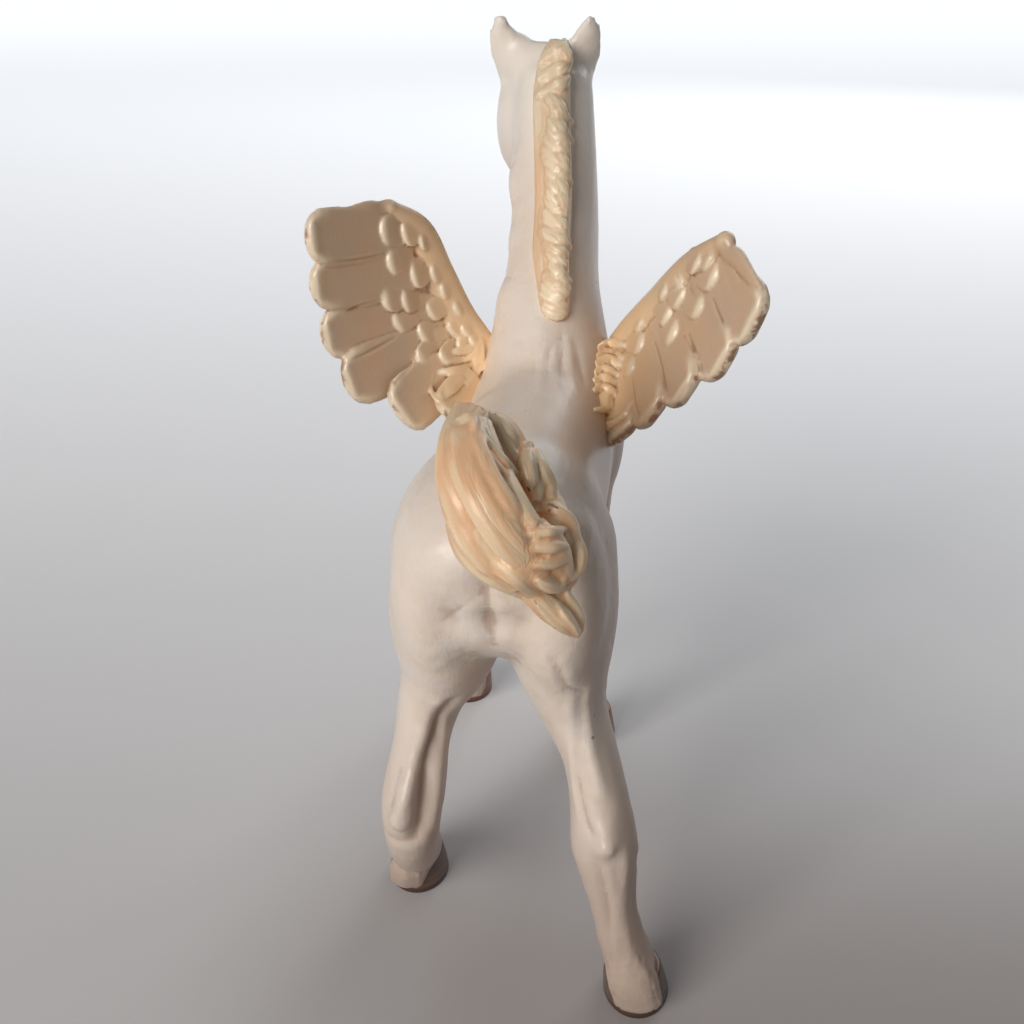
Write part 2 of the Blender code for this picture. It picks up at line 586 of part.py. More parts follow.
def stand_on_floor(made):
    """Cuts the four soles flat at the floor, and puts the origin under the figure's middle."""
    shape = bmesh.new()
    shape.from_mesh(made.data)
    bmesh.ops.triangulate(shape, faces=shape.faces)
    everything = shape.verts[:] + shape.edges[:] + shape.faces[:]
    bmesh.ops.bisect_plane(
        shape, geom=everything, dist=1e-6, plane_co=(0, 0, 0), plane_no=(0, 0, 1), clear_inner=True
    )
    rims = [edge for edge in shape.edges if edge.is_boundary]
    bmesh.ops.holes_fill(shape, edges=rims)
    bmesh.ops.triangulate(shape, faces=shape.faces)
    bmesh.ops.recalc_face_normals(shape, faces=shape.faces)
    places = np.array([vert.co for vert in shape.verts])
    middle = (places.min(0) + places.max(0)) / 2
    bmesh.ops.translate(shape, verts=shape.verts, vec=(-middle[0], -middle[1], 0))
    shape.to_mesh(made.data)
    shape.free()


def pearl_white():
    """Warm white vinyl with a soft pearly paint."""
    material = bpy.data.materials.new("pearl_white")
    material.use_nodes = True
    finish = material.node_tree.nodes["Principled BSDF"]
    finish.inputs["Base Color"].default_value = (0.72, 0.66, 0.60, 1)
    finish.inputs["Roughness"].default_value = 0.42
    finish.inputs["Metallic"].default_value = 0.0
    return material


def main():
    for left_over in list(bpy.data.objects):
        bpy.data.objects.remove(left_over)
    skin = trunk() + neck() + head()
    skin += hind_leg(HIND_RIGHT_LEG, HIND_RIGHT_SOLE) + hind_leg(HIND_LEFT_LEG, HIND_LEFT_SOLE)
    skin += fore_leg(FORE_RIGHT_SOLE, 4.0) + fore_leg(FORE_LEFT_SOLE, 4.0)
    figurine = mesh_of("pegasus_figurine", skin)
    melt(figurine, SKIN_VOXEL, SKIN_SMOOTHING)
    trimmings = mesh_of("trimmings", wing(LEFT_WING) + wing(RIGHT_WING) + mane() + tail())
    only(figurine)
    trimmings.select_set(True)
    bpy.ops.object.join()
    melt(figurine, VOXEL, 1)
    thin_out(figurine)
    stand_on_floor(figurine)
    figurine.data.materials.clear()
    figurine.data.materials.append(pearl_white())
    figurine.data.shade_smooth()


main()
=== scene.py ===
"""A moulded foal with raised wings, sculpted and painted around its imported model.

The foal faces +Y, +X is its right-hand side and +Z is up. Lengths in the tables are in
millimetres, counted from the sculptor's zero, which SCULPTOR_ZERO takes to the model's frame.
"""

import json
import math

import bmesh
import bpy
import numpy as np
from mathutils import Matrix, kdtree
from mathutils.bvhtree import BVHTree

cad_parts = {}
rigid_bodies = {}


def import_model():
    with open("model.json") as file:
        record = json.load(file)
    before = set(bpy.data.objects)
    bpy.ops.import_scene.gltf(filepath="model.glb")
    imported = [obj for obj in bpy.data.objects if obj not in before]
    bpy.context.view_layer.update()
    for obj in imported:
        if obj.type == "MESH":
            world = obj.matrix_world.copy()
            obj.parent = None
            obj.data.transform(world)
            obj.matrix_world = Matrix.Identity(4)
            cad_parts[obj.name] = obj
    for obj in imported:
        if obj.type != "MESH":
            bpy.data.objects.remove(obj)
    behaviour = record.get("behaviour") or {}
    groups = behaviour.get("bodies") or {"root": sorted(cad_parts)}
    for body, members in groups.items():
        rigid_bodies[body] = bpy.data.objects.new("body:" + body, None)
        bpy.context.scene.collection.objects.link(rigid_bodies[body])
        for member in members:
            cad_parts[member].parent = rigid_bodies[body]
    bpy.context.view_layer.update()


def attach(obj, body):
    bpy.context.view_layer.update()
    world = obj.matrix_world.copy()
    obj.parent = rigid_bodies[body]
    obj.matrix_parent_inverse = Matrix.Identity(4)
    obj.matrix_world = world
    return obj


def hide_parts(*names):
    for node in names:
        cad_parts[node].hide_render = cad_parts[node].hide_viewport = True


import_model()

bl_info = {
    "name": "Winged foal figurine",
    "version": (1, 0, 0),
    "blender": (4, 5, 0),
    "location": "3D View > Sidebar > Foal",
    "description": "Sculpts and paints a small winged foal, piece by piece",
    "category": "Object",
}

NODE = "pegasus_figurine"
MM = 0.001
SCULPTOR_ZERO = np.array((0.35, -1.43, 0.0))
RIGHT = np.array((1.0, 0.0, 0.0))

# Trunk
RUMP_Y, CHEST_Y = -28.4, 16.6
CROUP_Z, BACK_Z, WITHERS_Z = 53.4, 52.0, 54.4
BELLY_Z, FLANK_Z = 33.4, 34.6
RUMP_WIDTH, LOIN_WIDTH, BARREL_WIDTH, CHEST_WIDTH = 17.6, 15.6, 15.2, 13.8

# Neck and head
NECK_BASE_Y, NECK_LENGTH, NECK_SLOPE = 7.6, 34.3, math.radians(63.5)
NECK_BASE_DEPTH, NECK_MIDDLE_DEPTH, NECK_TOP_DEPTH, NECK_WIDTH = 19.0, 12.4, 10.4, 9.2
HEAD_LENGTH, HEAD_SLOPE, HEAD_WIDTH = 22.5, math.radians(-46.0), 10.4
JOWL_DEPTH, MUZZLE_WIDTH, EAR_WIDTH = 10.8, 6.0, 3.9

# From the end of the neck's line to the tip of the left ear, on side -1, and of the right one. An
# ear's outline is its shares of length, its shares of width and half its thickness.
EAR_REACHES = {-1: (-5.45, -1.3, 6.6), 1: (3.7, -1.9, 6.5)}
EAR_OUTLINE = (
    (0.0, 0.96, 1.7), (0.25, 1.0, 1.4), (0.5, 0.98, 1.1), (0.75, 0.8, 0.85), (0.92, 0.48, 0.7),
    (1.0, 0.16, 0.45),
)

# Swellings at the poll: the middle and the half sizes of each
POLL_LUMPS = (
    ((-1.0, 22.0, 77.3), (3.9, 2.3, 2.4)),
    ((-4.1, 23.0, 78.3), (1.8, 1.4, 2.3)),
    ((2.0, 23.0, 78.0), (1.6, 1.4, 1.9)),
)

# What is carved on each side of the head: how far aside it is, how wide and how high or deep it is,
# whether it stays on skin that faces that side, and its points as shares of the head's length and
# depth. In turn they are the eye socket, the lid, the nostril, the mouth and the cheek.
HEAD_STROKES = (
    (0.47 * HEAD_WIDTH, 0.9, -0.45, True, ((0.28, 0.13), (0.33, 0.15), (0.4, 0.1))),
    (0.45 * HEAD_WIDTH, 0.45, 0.32, True, ((0.24, 0.14), (0.3, 0.25), (0.38, 0.22), (0.43, 0.12))),
    (0.48 * MUZZLE_WIDTH, 0.55, -0.7, True, ((0.88, 0.1), (0.92, 0.12), (0.94, 0.06))),
    (0.44 * MUZZLE_WIDTH, 0.35, -0.35, False, ((0.99, -0.06), (0.92, -0.12), (0.82, -0.15))),
    (0.44 * HEAD_WIDTH, 0.8, -0.3, True, ((0.5, 0.05), (0.48, -0.2), (0.36, -0.42))),
)
EYE_RADIUS, EYE_SQUASH = 1.25, (0.62, 1.0, 0.86, 1.0)

# Legs, with the soles in turn hind right, hind left, fore right and fore left
SOLES = ((12.7, -23.8), (-10.6, -11.8), (6.4, 13.4), (-10.4, 20.4))
FORE_KNEE_Z, FETLOCK_Z, CORONET_Z = 20.6, 8.2, 4.2
KNEE_WIDTH, FORE_CANNON_WIDTH, FETLOCK_WIDTH = 4.9, 3.6, 4.5
HOOF_WIDTH, HOOF_LENGTH, HOOF_SLOPE = 6.2, 7.2, 1.3
HOOF_SHARES, HOOF_WIDTHS, HOOF_LENGTHS = (0.0, 0.5, 1.0), (0.985, 0.93, 0.84), (0.97, 0.87, 0.74)
FORE_HOOF_LEANS = (0.2, -0.5)

# Sections of the hind legs: their middle, their width, and how far they reach forward and back. The
# thigh, the hock and the fetlock are these rows of them.
THIGH, HOCK, FETLOCK = 1, 8, 11
HIND_RIGHT_LEG = (
    (4.3, -18.6, 46.0, 8.8, 6.8, 7.4),
    (4.6, -18.8, 40.0, 9.2, 6.9, 8.4),
    (4.6, -18.9, 37.0, 9.0, 6.3, 8.1),
    (4.8, -19.4, 34.2, 8.2, 5.6, 7.3),
    (5.3, -20.1, 32.0, 6.8, 4.8, 6.3),
    (6.1, -21.1, 29.7, 5.6, 4.0, 5.2),
    (7.5, -22.8, 27.0, 4.8, 3.2, 4.1),
    (8.5, -24.8, 23.6, 5.2, 2.7, 3.4),
    (9.0, -25.7, 20.4, 5.9, 2.7, 3.1),
    (9.4, -25.9, 17.6, 5.2, 2.3, 2.6),
    (10.1, -26.0, 13.2, 4.3, 1.9, 2.0),
    (10.9, -25.9, 9.4, 4.4, 2.1, 2.3),
    (11.7, -24.9, 5.8, 4.8, 2.2, 2.3),
    (12.2, -24.2, 3.2, 5.0, 2.4, 2.4),
)
HIND_LEFT_LEG = (
    (-4.4, -18.2, 46.0, 9.2, 6.8, 7.4),
    (-5.0, -18.2, 40.0, 9.8, 6.9, 8.4),
    (-5.0, -18.2, 37.0, 9.6, 6.3, 8.2),
    (-5.2, -18.5, 34.2, 8.8, 5.6, 7.4),
    (-5.7, -19.0, 32.0, 7.4, 4.8, 6.3),
    (-6.6, -19.8, 29.7, 5.8, 4.0, 5.1),
    (-7.2, -21.6, 26.6, 4.9, 3.2, 3.9),
    (-7.5, -22.9, 24.0, 5.4, 2.7, 3.3),
    (-7.9, -24.0, 21.0, 5.6, 2.7, 2.9),
    (-8.2, -23.4, 17.4, 5.1, 2.3, 3.0),
    (-8.8, -20.2, 12.4, 4.9, 1.9, 2.9),
    (-9.5, -16.4, 8.6, 4.9, 2.1, 2.7),
    (-10.1, -13.8, 5.6, 5.0, 2.2, 2.3),
    (-10.4, -12.5, 3.2, 5.0, 2.4, 2.4),
)

# The tones that tell a wing's skins apart in their marks
WEB_TONE, ARM_TONE, COVERT_TONE, CORNER_TONE, FLIGHT_TONE = 0.1, 0.2, 0.5, 0.8, 1.0

# Each flight feather from the wrist down to the shoulder, counted from the withers: its place on
# the arm, its base, its tip and its width
WING_ROOT_Y = 8.8
LEFT_WING = (
    ((-14.3, -2.4, 11.5), (-13.4, -2.2, 9.2), (-20.7, -8.8, 10.0), 5.4),
    ((-11.8, -1.1, 9.15), (-11.6, -1.8, 5.4), (-20.7, -8.8, 5.6), 5.4),
    ((-10.35, -0.25, 4.8), (-10.0, -1.8, 1.8), (-20.2, -8.4, 0.6), 5.8),
    ((-8.6, 0.4, 0.4), (-8.4, -2.2, -1.4), (-18.4, -8.4, -3.9), 6.2),
    ((-6.4, 0.4, -3.0), (-7.6, -2.6, -3.4), (-13.5, -7.6, -7.3), 6.2),
    ((-5.6, -0.4, -5.0), (-5.8, -2.8, -4.4), (-8.8, -6.4, -7.8), 4.8),
)
RIGHT_WING = (
    ((16.5, -10.5, 11.0), (14.6, -8.0, 8.0), (19.3, -16.6, 5.7), 6.2),
    ((13.9, -6.55, 7.8), (12.8, -6.0, 4.8), (17.2, -15.6, 1.8), 6.0),
    ((11.3, -3.15, 3.45), (10.8, -4.2, 1.6), (14.2, -14.2, -1.5), 5.6),
    ((8.75, -0.8, -0.45), (9.0, -3.2, -1.4), (11.4, -12.2, -4.6), 5.6),
    ((6.8, 0.2, -4.0), (7.4, -3.2, -3.6), (8.4, -9.8, -8.0), 5.6),
    ((5.8, -0.6, -5.4), (6.2, -3.4, -4.8), (6.6, -7.8, -8.8), 4.6),
)

# The arm's half thickness and half width, from the wrist to the shoulder
ARM_THICKNESS = (0.8, 1.0, 1.1, 1.1, 1.1, 1.1)
ARM_FULLNESS = (0.84, 1.4, 1.76, 1.92, 2.0, 2.0)

# The ridge from the wrist along the first feather's upper edge: shares of the feather's length past
# the wrist, how high the ridge lies in half widths of the feather, and its half width. Its height is
# less on the left, which is side -1.
CORNER_ROWS = (
    (0.1, 1.0, 0.85), (0.22, 1.04, 0.85), (0.38, 0.95, 0.7), (0.52, 0.84, 0.55), (0.64, 0.76, 0.35),
)
CORNER_RISE = {-1: 0.8, 1: 1.0}
WRIST_RADIUS = 0.85

# The web reaches this share of the way to the feathers' tips. A feather lies tilted and sags, starts
# thinner than it ends, and has its raised rim this far inside its edge.
WEB_SHARE, WEB_THICKNESS = 0.5, 0.55
FEATHER_THICKNESS, FEATHER_TILT, FEATHER_SAG, FEATHER_SWELL = 1.1, math.radians(3), 0.1, 0.2
FEATHER_STEP, RIM_PLACE, RIM_HALF_WIDTH = 0.24, 0.6, 0.45

# The coverts on the side that the camera doesn't see: how many each row has, and their size
HIDDEN_COVERTS = (10, 10, 9)
COVERT_LENGTH, COVERT_WIDTH = 2.5, 2.0

# A covert's half width and half thickness in millimetres, at shares of its length
COVERT_OUTLINE = (
    (0.0, 0.6, 0.1), (0.3, 0.9, 0.2), (0.6, 1.0, 0.3), (0.82, 0.88, 0.34), (0.95, 0.5, 0.26),
    (1.0, 0.15, 0.1),
)

# The coverts that the camera sees, in rows from the outermost: how wide each is, and where its root
# and its tip are, in pixels of the camera's picture
LEFT_COVERTS = (
    ((2.9, 402, 229, 380, 232), (2.8, 408, 258, 387, 263), (2.9, 404, 294, 382, 301),
     (2.6, 414, 312, 394, 325), (2.4, 436, 345, 418, 361)),
    ((2.6, 421, 230, 402, 236), (2.8, 430, 271, 411, 277), (2.6, 421, 296, 402, 302),
     (2.4, 438, 324, 420, 337), (2.3, 458, 344, 442, 361)),
    ((1.8, 431, 240, 419, 243), (2.3, 446, 269, 430, 273), (2.4, 446, 303, 428, 314),
     (2.0, 464, 320, 451, 334)),
    ((2.0, 454, 287, 440, 291), (2.0, 468, 300, 454, 310), (1.8, 476, 320, 464, 335),
     (1.7, 474, 338, 458, 349), (1.4, 480, 334, 471, 344)),
)
RIGHT_COVERTS = (
    ((2.8, 700, 270, 717, 279), (2.8, 686, 296, 703, 309), (2.8, 660, 322, 676, 336),
     (2.6, 628, 338, 643, 347), (2.4, 619, 360, 634, 369)),
    ((2.4, 697, 250, 713, 262), (2.5, 668, 288, 683, 301), (2.4, 655, 304, 670, 318)),
    ((2.4, 686, 254, 700, 266), (2.5, 669, 268, 684, 281), (2.0, 655, 284, 667, 294),
     (2.0, 632, 316, 643, 327)),
)

# Short locks where the wings meet the body, drawn where the camera sees them: how wide and how thick
# each is, how far it stands up, its tone, and its points in pixels of the camera's picture
LEFT_ROOT_LOCKS = (
    (2.4, 0.9, 0.06, 0.5, ((478, 338), (474, 352), (470, 368), (462, 384))),
    (1.1, 0.7, 0.12, 0.5, ((478, 342), (466, 349), (452, 352))),
    (1.0, 0.7, 0.12, 0.5, ((474, 354), (462, 359), (446, 362))),
    (1.1, 0.7, 0.12, 0.5, ((470, 366), (456, 371), (438, 372))),
    (0.5, 0.45, 0.06, 0.5, ((433, 374), (431, 388), (438, 401), (450, 405))),
    (1.6, 0.6, 0.04, 0.2, ((462, 378), (450, 387), (444, 396))),
)
RIGHT_ROOT_LOCKS = (
    (3.0, 1.2, 0.12, 0.2, ((604, 343), (602, 365), (600, 390), (602, 412))),
    (2.2, 1.0, 0.10, 0.2, ((614, 345), (613, 365), (611, 385))),
    (1.0, 0.7, 0.10, 0.5, ((596, 348), (604, 345), (614, 343), (627, 346))),
    (0.8, 0.6, 0.06, 0.5, ((595, 356), (604, 352), (616, 354), (625, 359))),
    (1.1, 0.7, 0.10, 0.5, ((594, 364), (602, 361), (611, 360), (622, 366))),
    (0.9, 0.7, 0.07, 0.5, ((593, 373), (600, 369), (609, 370), (619, 375))),
    (1.0, 0.7, 0.09, 0.5, ((592, 381), (599, 379), (607, 378), (615, 382))),
    (0.9, 0.7, 0.10, 0.5, ((592, 391), (600, 388), (609, 389), (614, 395), (613, 403), (603, 409),
     (593, 410))),
    (0.9, 0.7, 0.10, 0.5, ((606, 424), (615, 423), (626, 415), (632, 403))),
)

# Lines between the flight feathers, as the camera sees them
GAP_WIDTH, GAP_DEPTH = 0.2, 0.13
LEFT_GAPS = (
    ((317, 262), (354, 260), (384, 254)),
    ((323, 311), (354, 308), (384, 300)),
    ((345, 362), (370, 351), (395, 337)),
    ((387, 398), (396, 382), (410, 366)),
)
RIGHT_GAPS = (
    ((713, 299), (720, 317), (735, 345)),
    ((689, 335), (695, 352), (704, 377)),
    ((655, 343), (661, 365), (668, 401)),
    ((632, 378), (634, 398), (638, 416)),
)

# A feather's half width at shares of its length
FEATHER_OUTLINE = (
    (0.0, 0.5), (0.2, 0.8), (0.45, 0.96), (0.7, 1.0), (0.84, 0.97), (0.93, 0.78), (0.98, 0.46),
    (1.0, 0.1),
)

# The way the tail's locks face, and each lock of its bulk: how wide and how thick it is, then its
# points, counted from the tail's root
PLUME_FACING = (0.2, -0.8, 0.55)
TAIL_LOCKS = (
    (4.4, 3.4, (0.0, 0.4, -0.4), (-0.7, -0.4, 3.0), (-1.2, -1.6, 6.2), (-1.1, -3.2, 8.2)),
    (3.6, 2.8, (0.0, 0.0, 0.6), (0.1, -1.4, 3.6), (0.3, -2.6, 6.0), (0.1, -3.6, 7.8)),
    (2.5, 2.0, (-1.0, -3.8, 8.8), (-1.8, -5.6, 7.5), (-1.85, -7.0, 5.8), (-1.4, -8.2, 4.1)),
    (2.5, 2.0, (-1.4, -8.2, 4.1), (-0.4, -9.0, 2.4), (1.2, -9.2, 1.0), (3.1, -8.4, -0.9)),
    (2.6, 2.0, (-1.1, -4.4, 8.9), (-1.3, -7.2, 7.4), (-0.8, -9.0, 5.7), (0.4, -10.0, 4.0)),
    (2.6, 2.0, (0.4, -10.0, 4.0), (1.8, -10.2, 2.1), (3.3, -9.4, 0.0)),
    (2.5, 2.0, (-0.9, -4.8, 8.8), (-0.2, -8.0, 7.5), (0.8, -10.0, 6.1), (2.1, -10.7, 4.4)),
    (2.5, 2.0, (2.1, -10.7, 4.4), (3.4, -10.5, 2.4), (4.5, -9.4, 0.4)),
    (2.4, 2.0, (-0.7, -4.6, 8.8), (0.4, -7.4, 7.4), (1.9, -9.4, 6.0), (3.5, -10.2, 4.6)),
    (2.4, 2.0, (3.5, -10.2, 4.6), (4.6, -9.8, 2.9), (5.2, -9.0, 1.2)),
    (2.4, 2.0, (-0.6, -3.0, 8.2), (0.6, -4.4, 6.8), (1.8, -5.8, 5.5), (3.3, -7.4, 3.9)),
    (1.8, 1.7, (-0.7, -3.4, 8.8), (0.6, -3.0, 8.1), (1.6, -3.7, 7.1), (2.4, -4.5, 6.1)),
    (2.0, 1.8, (2.3, -4.3, 6.2), (3.2, -5.4, 5.0), (4.3, -6.6, 4.2), (5.3, -7.6, 2.8)),
    (2.2, 1.9, (5.1, -7.4, 3.2), (5.5, -7.8, 1.8), (5.1, -8.2, 0.2), (4.3, -8.4, -0.6)),
    (1.5, 1.5, (2.5, -4.7, 7.2), (2.8, -5.5, 6.4), (3.1, -6.4, 5.6), (3.3, -7.1, 4.8)),
    (2.4, 1.9, (3.1, -8.8, -0.2), (4.4, -8.7, -1.4), (5.3, -8.2, -2.6), (6.0, -7.5, -4.1)),
)

# Locks that lie on the plume, each drawn where the camera sees it, in pixels of its picture: how
# wide and how thick it is, how far it stands up, its tone, and its points
PLUME_LINES = (
    (0.8, 1.0, 0.10, 0.8, ((453, 417), (445, 437), (442, 467), (444, 492), (450, 516), (463, 543),
     (479, 564), (490, 575))),
    (2.0, 1.0, 0.03, 1.0, ((460, 412), (453, 436), (451, 464), (456, 494), (468, 523), (483, 548),
     (498, 568), (516, 588))),
    (2.3, 1.0, 0.06, 1.0, ((463, 408), (455, 436), (455, 467), (465, 497), (481, 527), (500, 554),
     (521, 575), (537, 591))),
    (2.2, 1.0, 0.03, 1.0, ((468, 408), (465, 435), (468, 464), (479, 494), (495, 523), (511, 543),
     (527, 559), (543, 574))),
    (1.8, 0.9, 0.02, 0.7, ((471, 409), (471, 436), (479, 462), (492, 488), (505, 510), (518, 527),
     (529, 539))),
    (0.6, 0.9, 0.08, 1.0, ((479, 411), (475, 422), (477, 436), (487, 454), (500, 468), (509, 477))),
    (0.6, 0.6, 0.05, 0.2, ((487, 411), (482, 432), (494, 449), (508, 465), (521, 480))),
    (0.7, 0.7, 0.10, 0.2, ((494, 414), (500, 432), (510, 448), (519, 462))),
    (0.6, 0.7, 0.20, 0.2, ((502, 419), (511, 433), (518, 446))),
    (1.1, 1.2, 0.40, 1.8, ((529, 448), (527, 462), (530, 478), (531, 489))),
    (1.3, 1.0, 0.15, 1.5, ((535, 451), (540, 470), (548, 486), (552, 500))),
    (0.7, 0.8, 0.10, 1.0, ((520, 534), (540, 532), (553, 531), (564, 529))),
    (0.8, 0.8, 0.14, 1.0, ((516, 549), (540, 547), (553, 547), (565, 546))),
    (0.8, 0.8, 0.14, 1.0, ((514, 563), (537, 563), (553, 563), (564, 561))),
    (1.0, 1.0, 0.20, 0.7, ((541, 505), (557, 511), (570, 523), (578, 539))),
    (0.7, 0.8, 0.20, 0.6, ((543, 516), (553, 523), (562, 532), (569, 543))),
    (1.0, 1.0, 0.20, 0.6, ((578, 539), (580, 554), (576, 570), (567, 580))),
    (0.9, 0.9, 0.20, 1.4, ((535, 577), (546, 584), (557, 586), (565, 579))),
    (1.6, 1.2, 0.15, 0.7, ((535, 593), (549, 607), (564, 621), (576, 632))),
    (0.6, 1.0, 0.55, 1.3, ((556, 602), (564, 614), (572, 623), (577, 631))),
    (0.8, 0.9, 0.10, 0.4, ((566, 590), (572, 602), (579, 615), (582, 624))),
)

# The mane's band: shares of the neck's length, how far aside of the crest it is there, and half its
# width. Its lowest and highest shares are its ends.
CREST_SHARES = (0.3, 0.45, 0.9, 1.0, 1.05)
CREST_ASIDE = (0.75, 0.2, 0.05, 0.3, 0.35)
CREST_WIDTHS = (1.3, 1.8, 1.85, 1.6, 1.0)
CREST_LOW, CREST_HIGH = 0.21, 1.06

# The short locks below the poll lie down the crest at random: the seed, how many they are, and the
# height of the first and how far apart they are in pixels of the camera's picture
MANE_SEED, MANE_LOCKS, MANE_TOP, MANE_PITCH = 4, 21, 100, 10.6

# From the poll, where each lock of the forelock goes aside and how far it reaches
FORELOCKS = ((-0.6, 5.0), (0.5, 6.5), (0.0, 7.5), (-1.2, 4.2), (1.1, 4.6))

# Locks of the mane near the poll, drawn in the same way as the plume's
POLL_LINES = (
    (1.5, 1.0, 0.10, 1.0, ((541, 62), (550, 57), (560, 50), (568, 46))),
    (1.4, 1.0, 0.15, 1.0, ((540, 78), (551, 74), (562, 68), (569, 62))),
    (1.5, 1.0, 0.15, 1.0, ((539, 94), (550, 91), (560, 84), (568, 77))),
    (1.2, 1.0, 0.20, 0.6, ((552, 42), (560, 46), (567, 56), (569, 66))),
)

# Tendons, creases and muscles, drawn where the camera sees them: how wide, how high or how deep
# where it is below 0, and the points in pixels of its picture
SKIN_LINES = (
    (1.5, 0.8, ((516, 165), (517, 184), (519, 204))),
    (1.4, 0.55, ((516, 224), (515, 238), (514, 252))),
    (2.2, 0.7, ((511, 278), (506, 296), (500, 314))),
    (0.75, -0.75, ((452, 703), (437, 730), (428, 761), (425, 794), (422, 817), (416, 839))),
    (0.55, 0.35, ((437, 703), (424, 734), (415, 761), (410, 783), (403, 806), (397, 823))),
    (0.8, 0.45, ((392, 815), (399, 823), (403, 829))),
    (0.5, -0.25, ((388, 836), (402, 842), (414, 840))),
    (0.5, 0.25, ((444, 720), (444, 739), (440, 775), (437, 805), (434, 825))),
    (0.5, -0.22, ((399, 770), (392, 800), (388, 815))),
    (1.2, -0.2, ((477, 582), (459, 602), (446, 616), (441, 632))),
    (0.22, -0.12, ((488, 588), (472, 600), (456, 611), (444, 620))),
    (0.8, -0.45, ((481, 583), (485, 600), (489, 623), (494, 646))),
    (2.2, 0.2, ((441, 556), (452, 570), (462, 590), (466, 612))),
    (0.6, 0.32, ((588, 690), (588, 720), (590, 748), (595, 770), (601, 792))),
    (0.5, -0.3, ((578, 780), (582, 805), (588, 826), (598, 843))),
    (0.55, 0.22, ((572, 700), (572, 740), (574, 780), (580, 815))),
    (0.8, 0.42, ((604, 844), (609, 848), (614, 846))),
    (0.6, 0.3, ((624, 846), (625, 865), (622, 900), (630, 953), (645, 974))),
    (0.5, 0.2, ((609, 870), (615, 905), (616, 945), (625, 972))),
    (0.45, -0.18, ((597, 860), (606, 900), (609, 945))),
    (0.4, -0.2, ((553, 660), (559, 672), (567, 687), (585, 692))),
    (0.5, -0.2, ((612, 640), (611, 670), (606, 700))),
    (0.4, -0.14, ((564, 333), (556, 341), (550, 350), (548, 358))),
    (0.45, 0.14, ((556, 338), (553, 360), (556, 385))),
    (0.4, -0.12, ((562, 340), (560, 362), (564, 392))),
    (0.45, 0.14, ((568, 338), (570, 362), (576, 390))),
    (0.4, -0.12, ((575, 342), (580, 366), (586, 388))),
    (0.4, 0.12, ((545, 345), (541, 368), (540, 392))),
    (0.5, -0.15, ((484, 318), (494, 328), (503, 332))),
    (1.2, 0.25, ((472, 356), (466, 372), (462, 390))),
)

# The side of the foal that the window doesn't reach, below the root of the neck, where the coat is painted
# in shade
AWAY_FROM_WINDOW = np.array((0.92, 0.3, -0.25))
NECK_ROOT_Z = 57.0

# The camera, in millimetres, degrees and pixels, and how far from it each drawn piece is
CAMERA_PLACE = (9.66, -92.3, 85.22)
CAMERA_DOWN, CAMERA_TURN, CAMERA_ROLL = 27.44, -7.07, -0.19
TAIL_DEPTH, BODY_DEPTH, WING_DEPTH, MANE_DEPTH = 68.0, 95.0, 104.0, 100.0
PICTURE_WIDTH = 1024
FOCAL_PIXELS = 1028.8
SENSOR_WIDTH = 36.0

# The lights: where each stands and how wide it is, in metres, and its tint
LIGHTS = {
    "key": ((-0.35, -0.58, 0.37), 0.42, (1.0, 0.97, 0.94)),
    "side": ((0.3, 0.62, 0.45), 0.5, (0.96, 0.98, 1.0)),
    "top": ((-0.35, 0.5, 0.6), 0.6, (0.95, 0.98, 1.0)),
}
LIGHTS_AIM_Z, FLOOR_SIZE = 0.04, 12.0
SKY_TINT = (0.93, 0.95, 1.0, 1.0)

# The floor's glow, painted light that stands in for the far window's light on it. It grows with the
# logarithm of the distance past a line that lies this far behind the foal's middle, in metres
GLOW_LINE, GLOW_NEAREST, GLOW_SLOPE, GLOW_LEVEL = 0.064, 0.03, 0.22, 0.745

# Paint: how rough the noise is, and the heights in metres below which the coat is painted darker as
# shade and above which it is painted paler as light
NOISE_ROUGHNESS = 0.55
COAT_SHADED_BELOW_Z, COAT_LIT_ABOVE_Z = 0.036, 0.066


def unit(vector):
    """The vector at length one."""
    vector = np.asarray(vector, float)
    return vector / np.linalg.norm(vector)


def between(a, b, share):
    """The point that lies this share of the way from a to b."""
    return (1 - share) * np.asarray(a, float) + share * np.asarray(b, float)


def ease(low, high, value):
    """0 below low, 1 above high, and a smooth step between them."""
    share = np.clip((value - low) / (high - low), 0.0, 1.0)
    return share * share * (3 - 2 * share)


def camera_axes():
    """The camera's look, and its right-hand and upward directions."""
    down, turn, roll = (math.radians(a) for a in (CAMERA_DOWN, CAMERA_TURN, CAMERA_ROLL))
    level = math.cos(down)
    look = np.array((math.sin(turn) * level, math.cos(turn) * level, -math.sin(down)))
    right = np.array((math.cos(turn), -math.sin(turn), 0.0))
    up = np.cross(right, look)
    return look, math.cos(roll) * right + math.sin(roll) * up, math.cos(roll) * up - math.sin(roll) * right


def seen_at(surface, pixels, depth):
    """The places on a surface that the camera sees at these pixels. Where a line of sight passes
    by the surface, the place is the nearest on it to this depth along the line."""
    look, right, up = camera_axes()
    eye = np.array(CAMERA_PLACE) - SCULPTOR_ZERO
    half = PICTURE_WIDTH / 2
    found = []
    for x, y in pixels:
        way = unit(look + right * (x - half) / FOCAL_PIXELS + up * (half - y) / FOCAL_PIXELS)
        place = surface.ray_cast(eye, way)[0] or surface.find_nearest(eye + way * depth)[0]
        found.append(np.array(place))
    return found


def smooth_rows(rows, steps):
    """A Catmull-Rom curve through the rows, with this many steps from each to the next."""
    rows = np.asarray(rows, float)
    padded = np.vstack((2 * rows[0] - rows[1], rows, 2 * rows[-1] - rows[-2]))
    found = []
    for i in range(len(rows) - 1):
        a, b, c, d = padded[i : i + 4]
        for t in np.arange(steps) / steps:
            cubic = 3 * b - a - 3 * c + d
            found.append(b + t / 2 * (c - a + t * (2 * a - 5 * b + 4 * c - d + t * cubic)))
    found.append(rows[-1])
    return np.array(found)


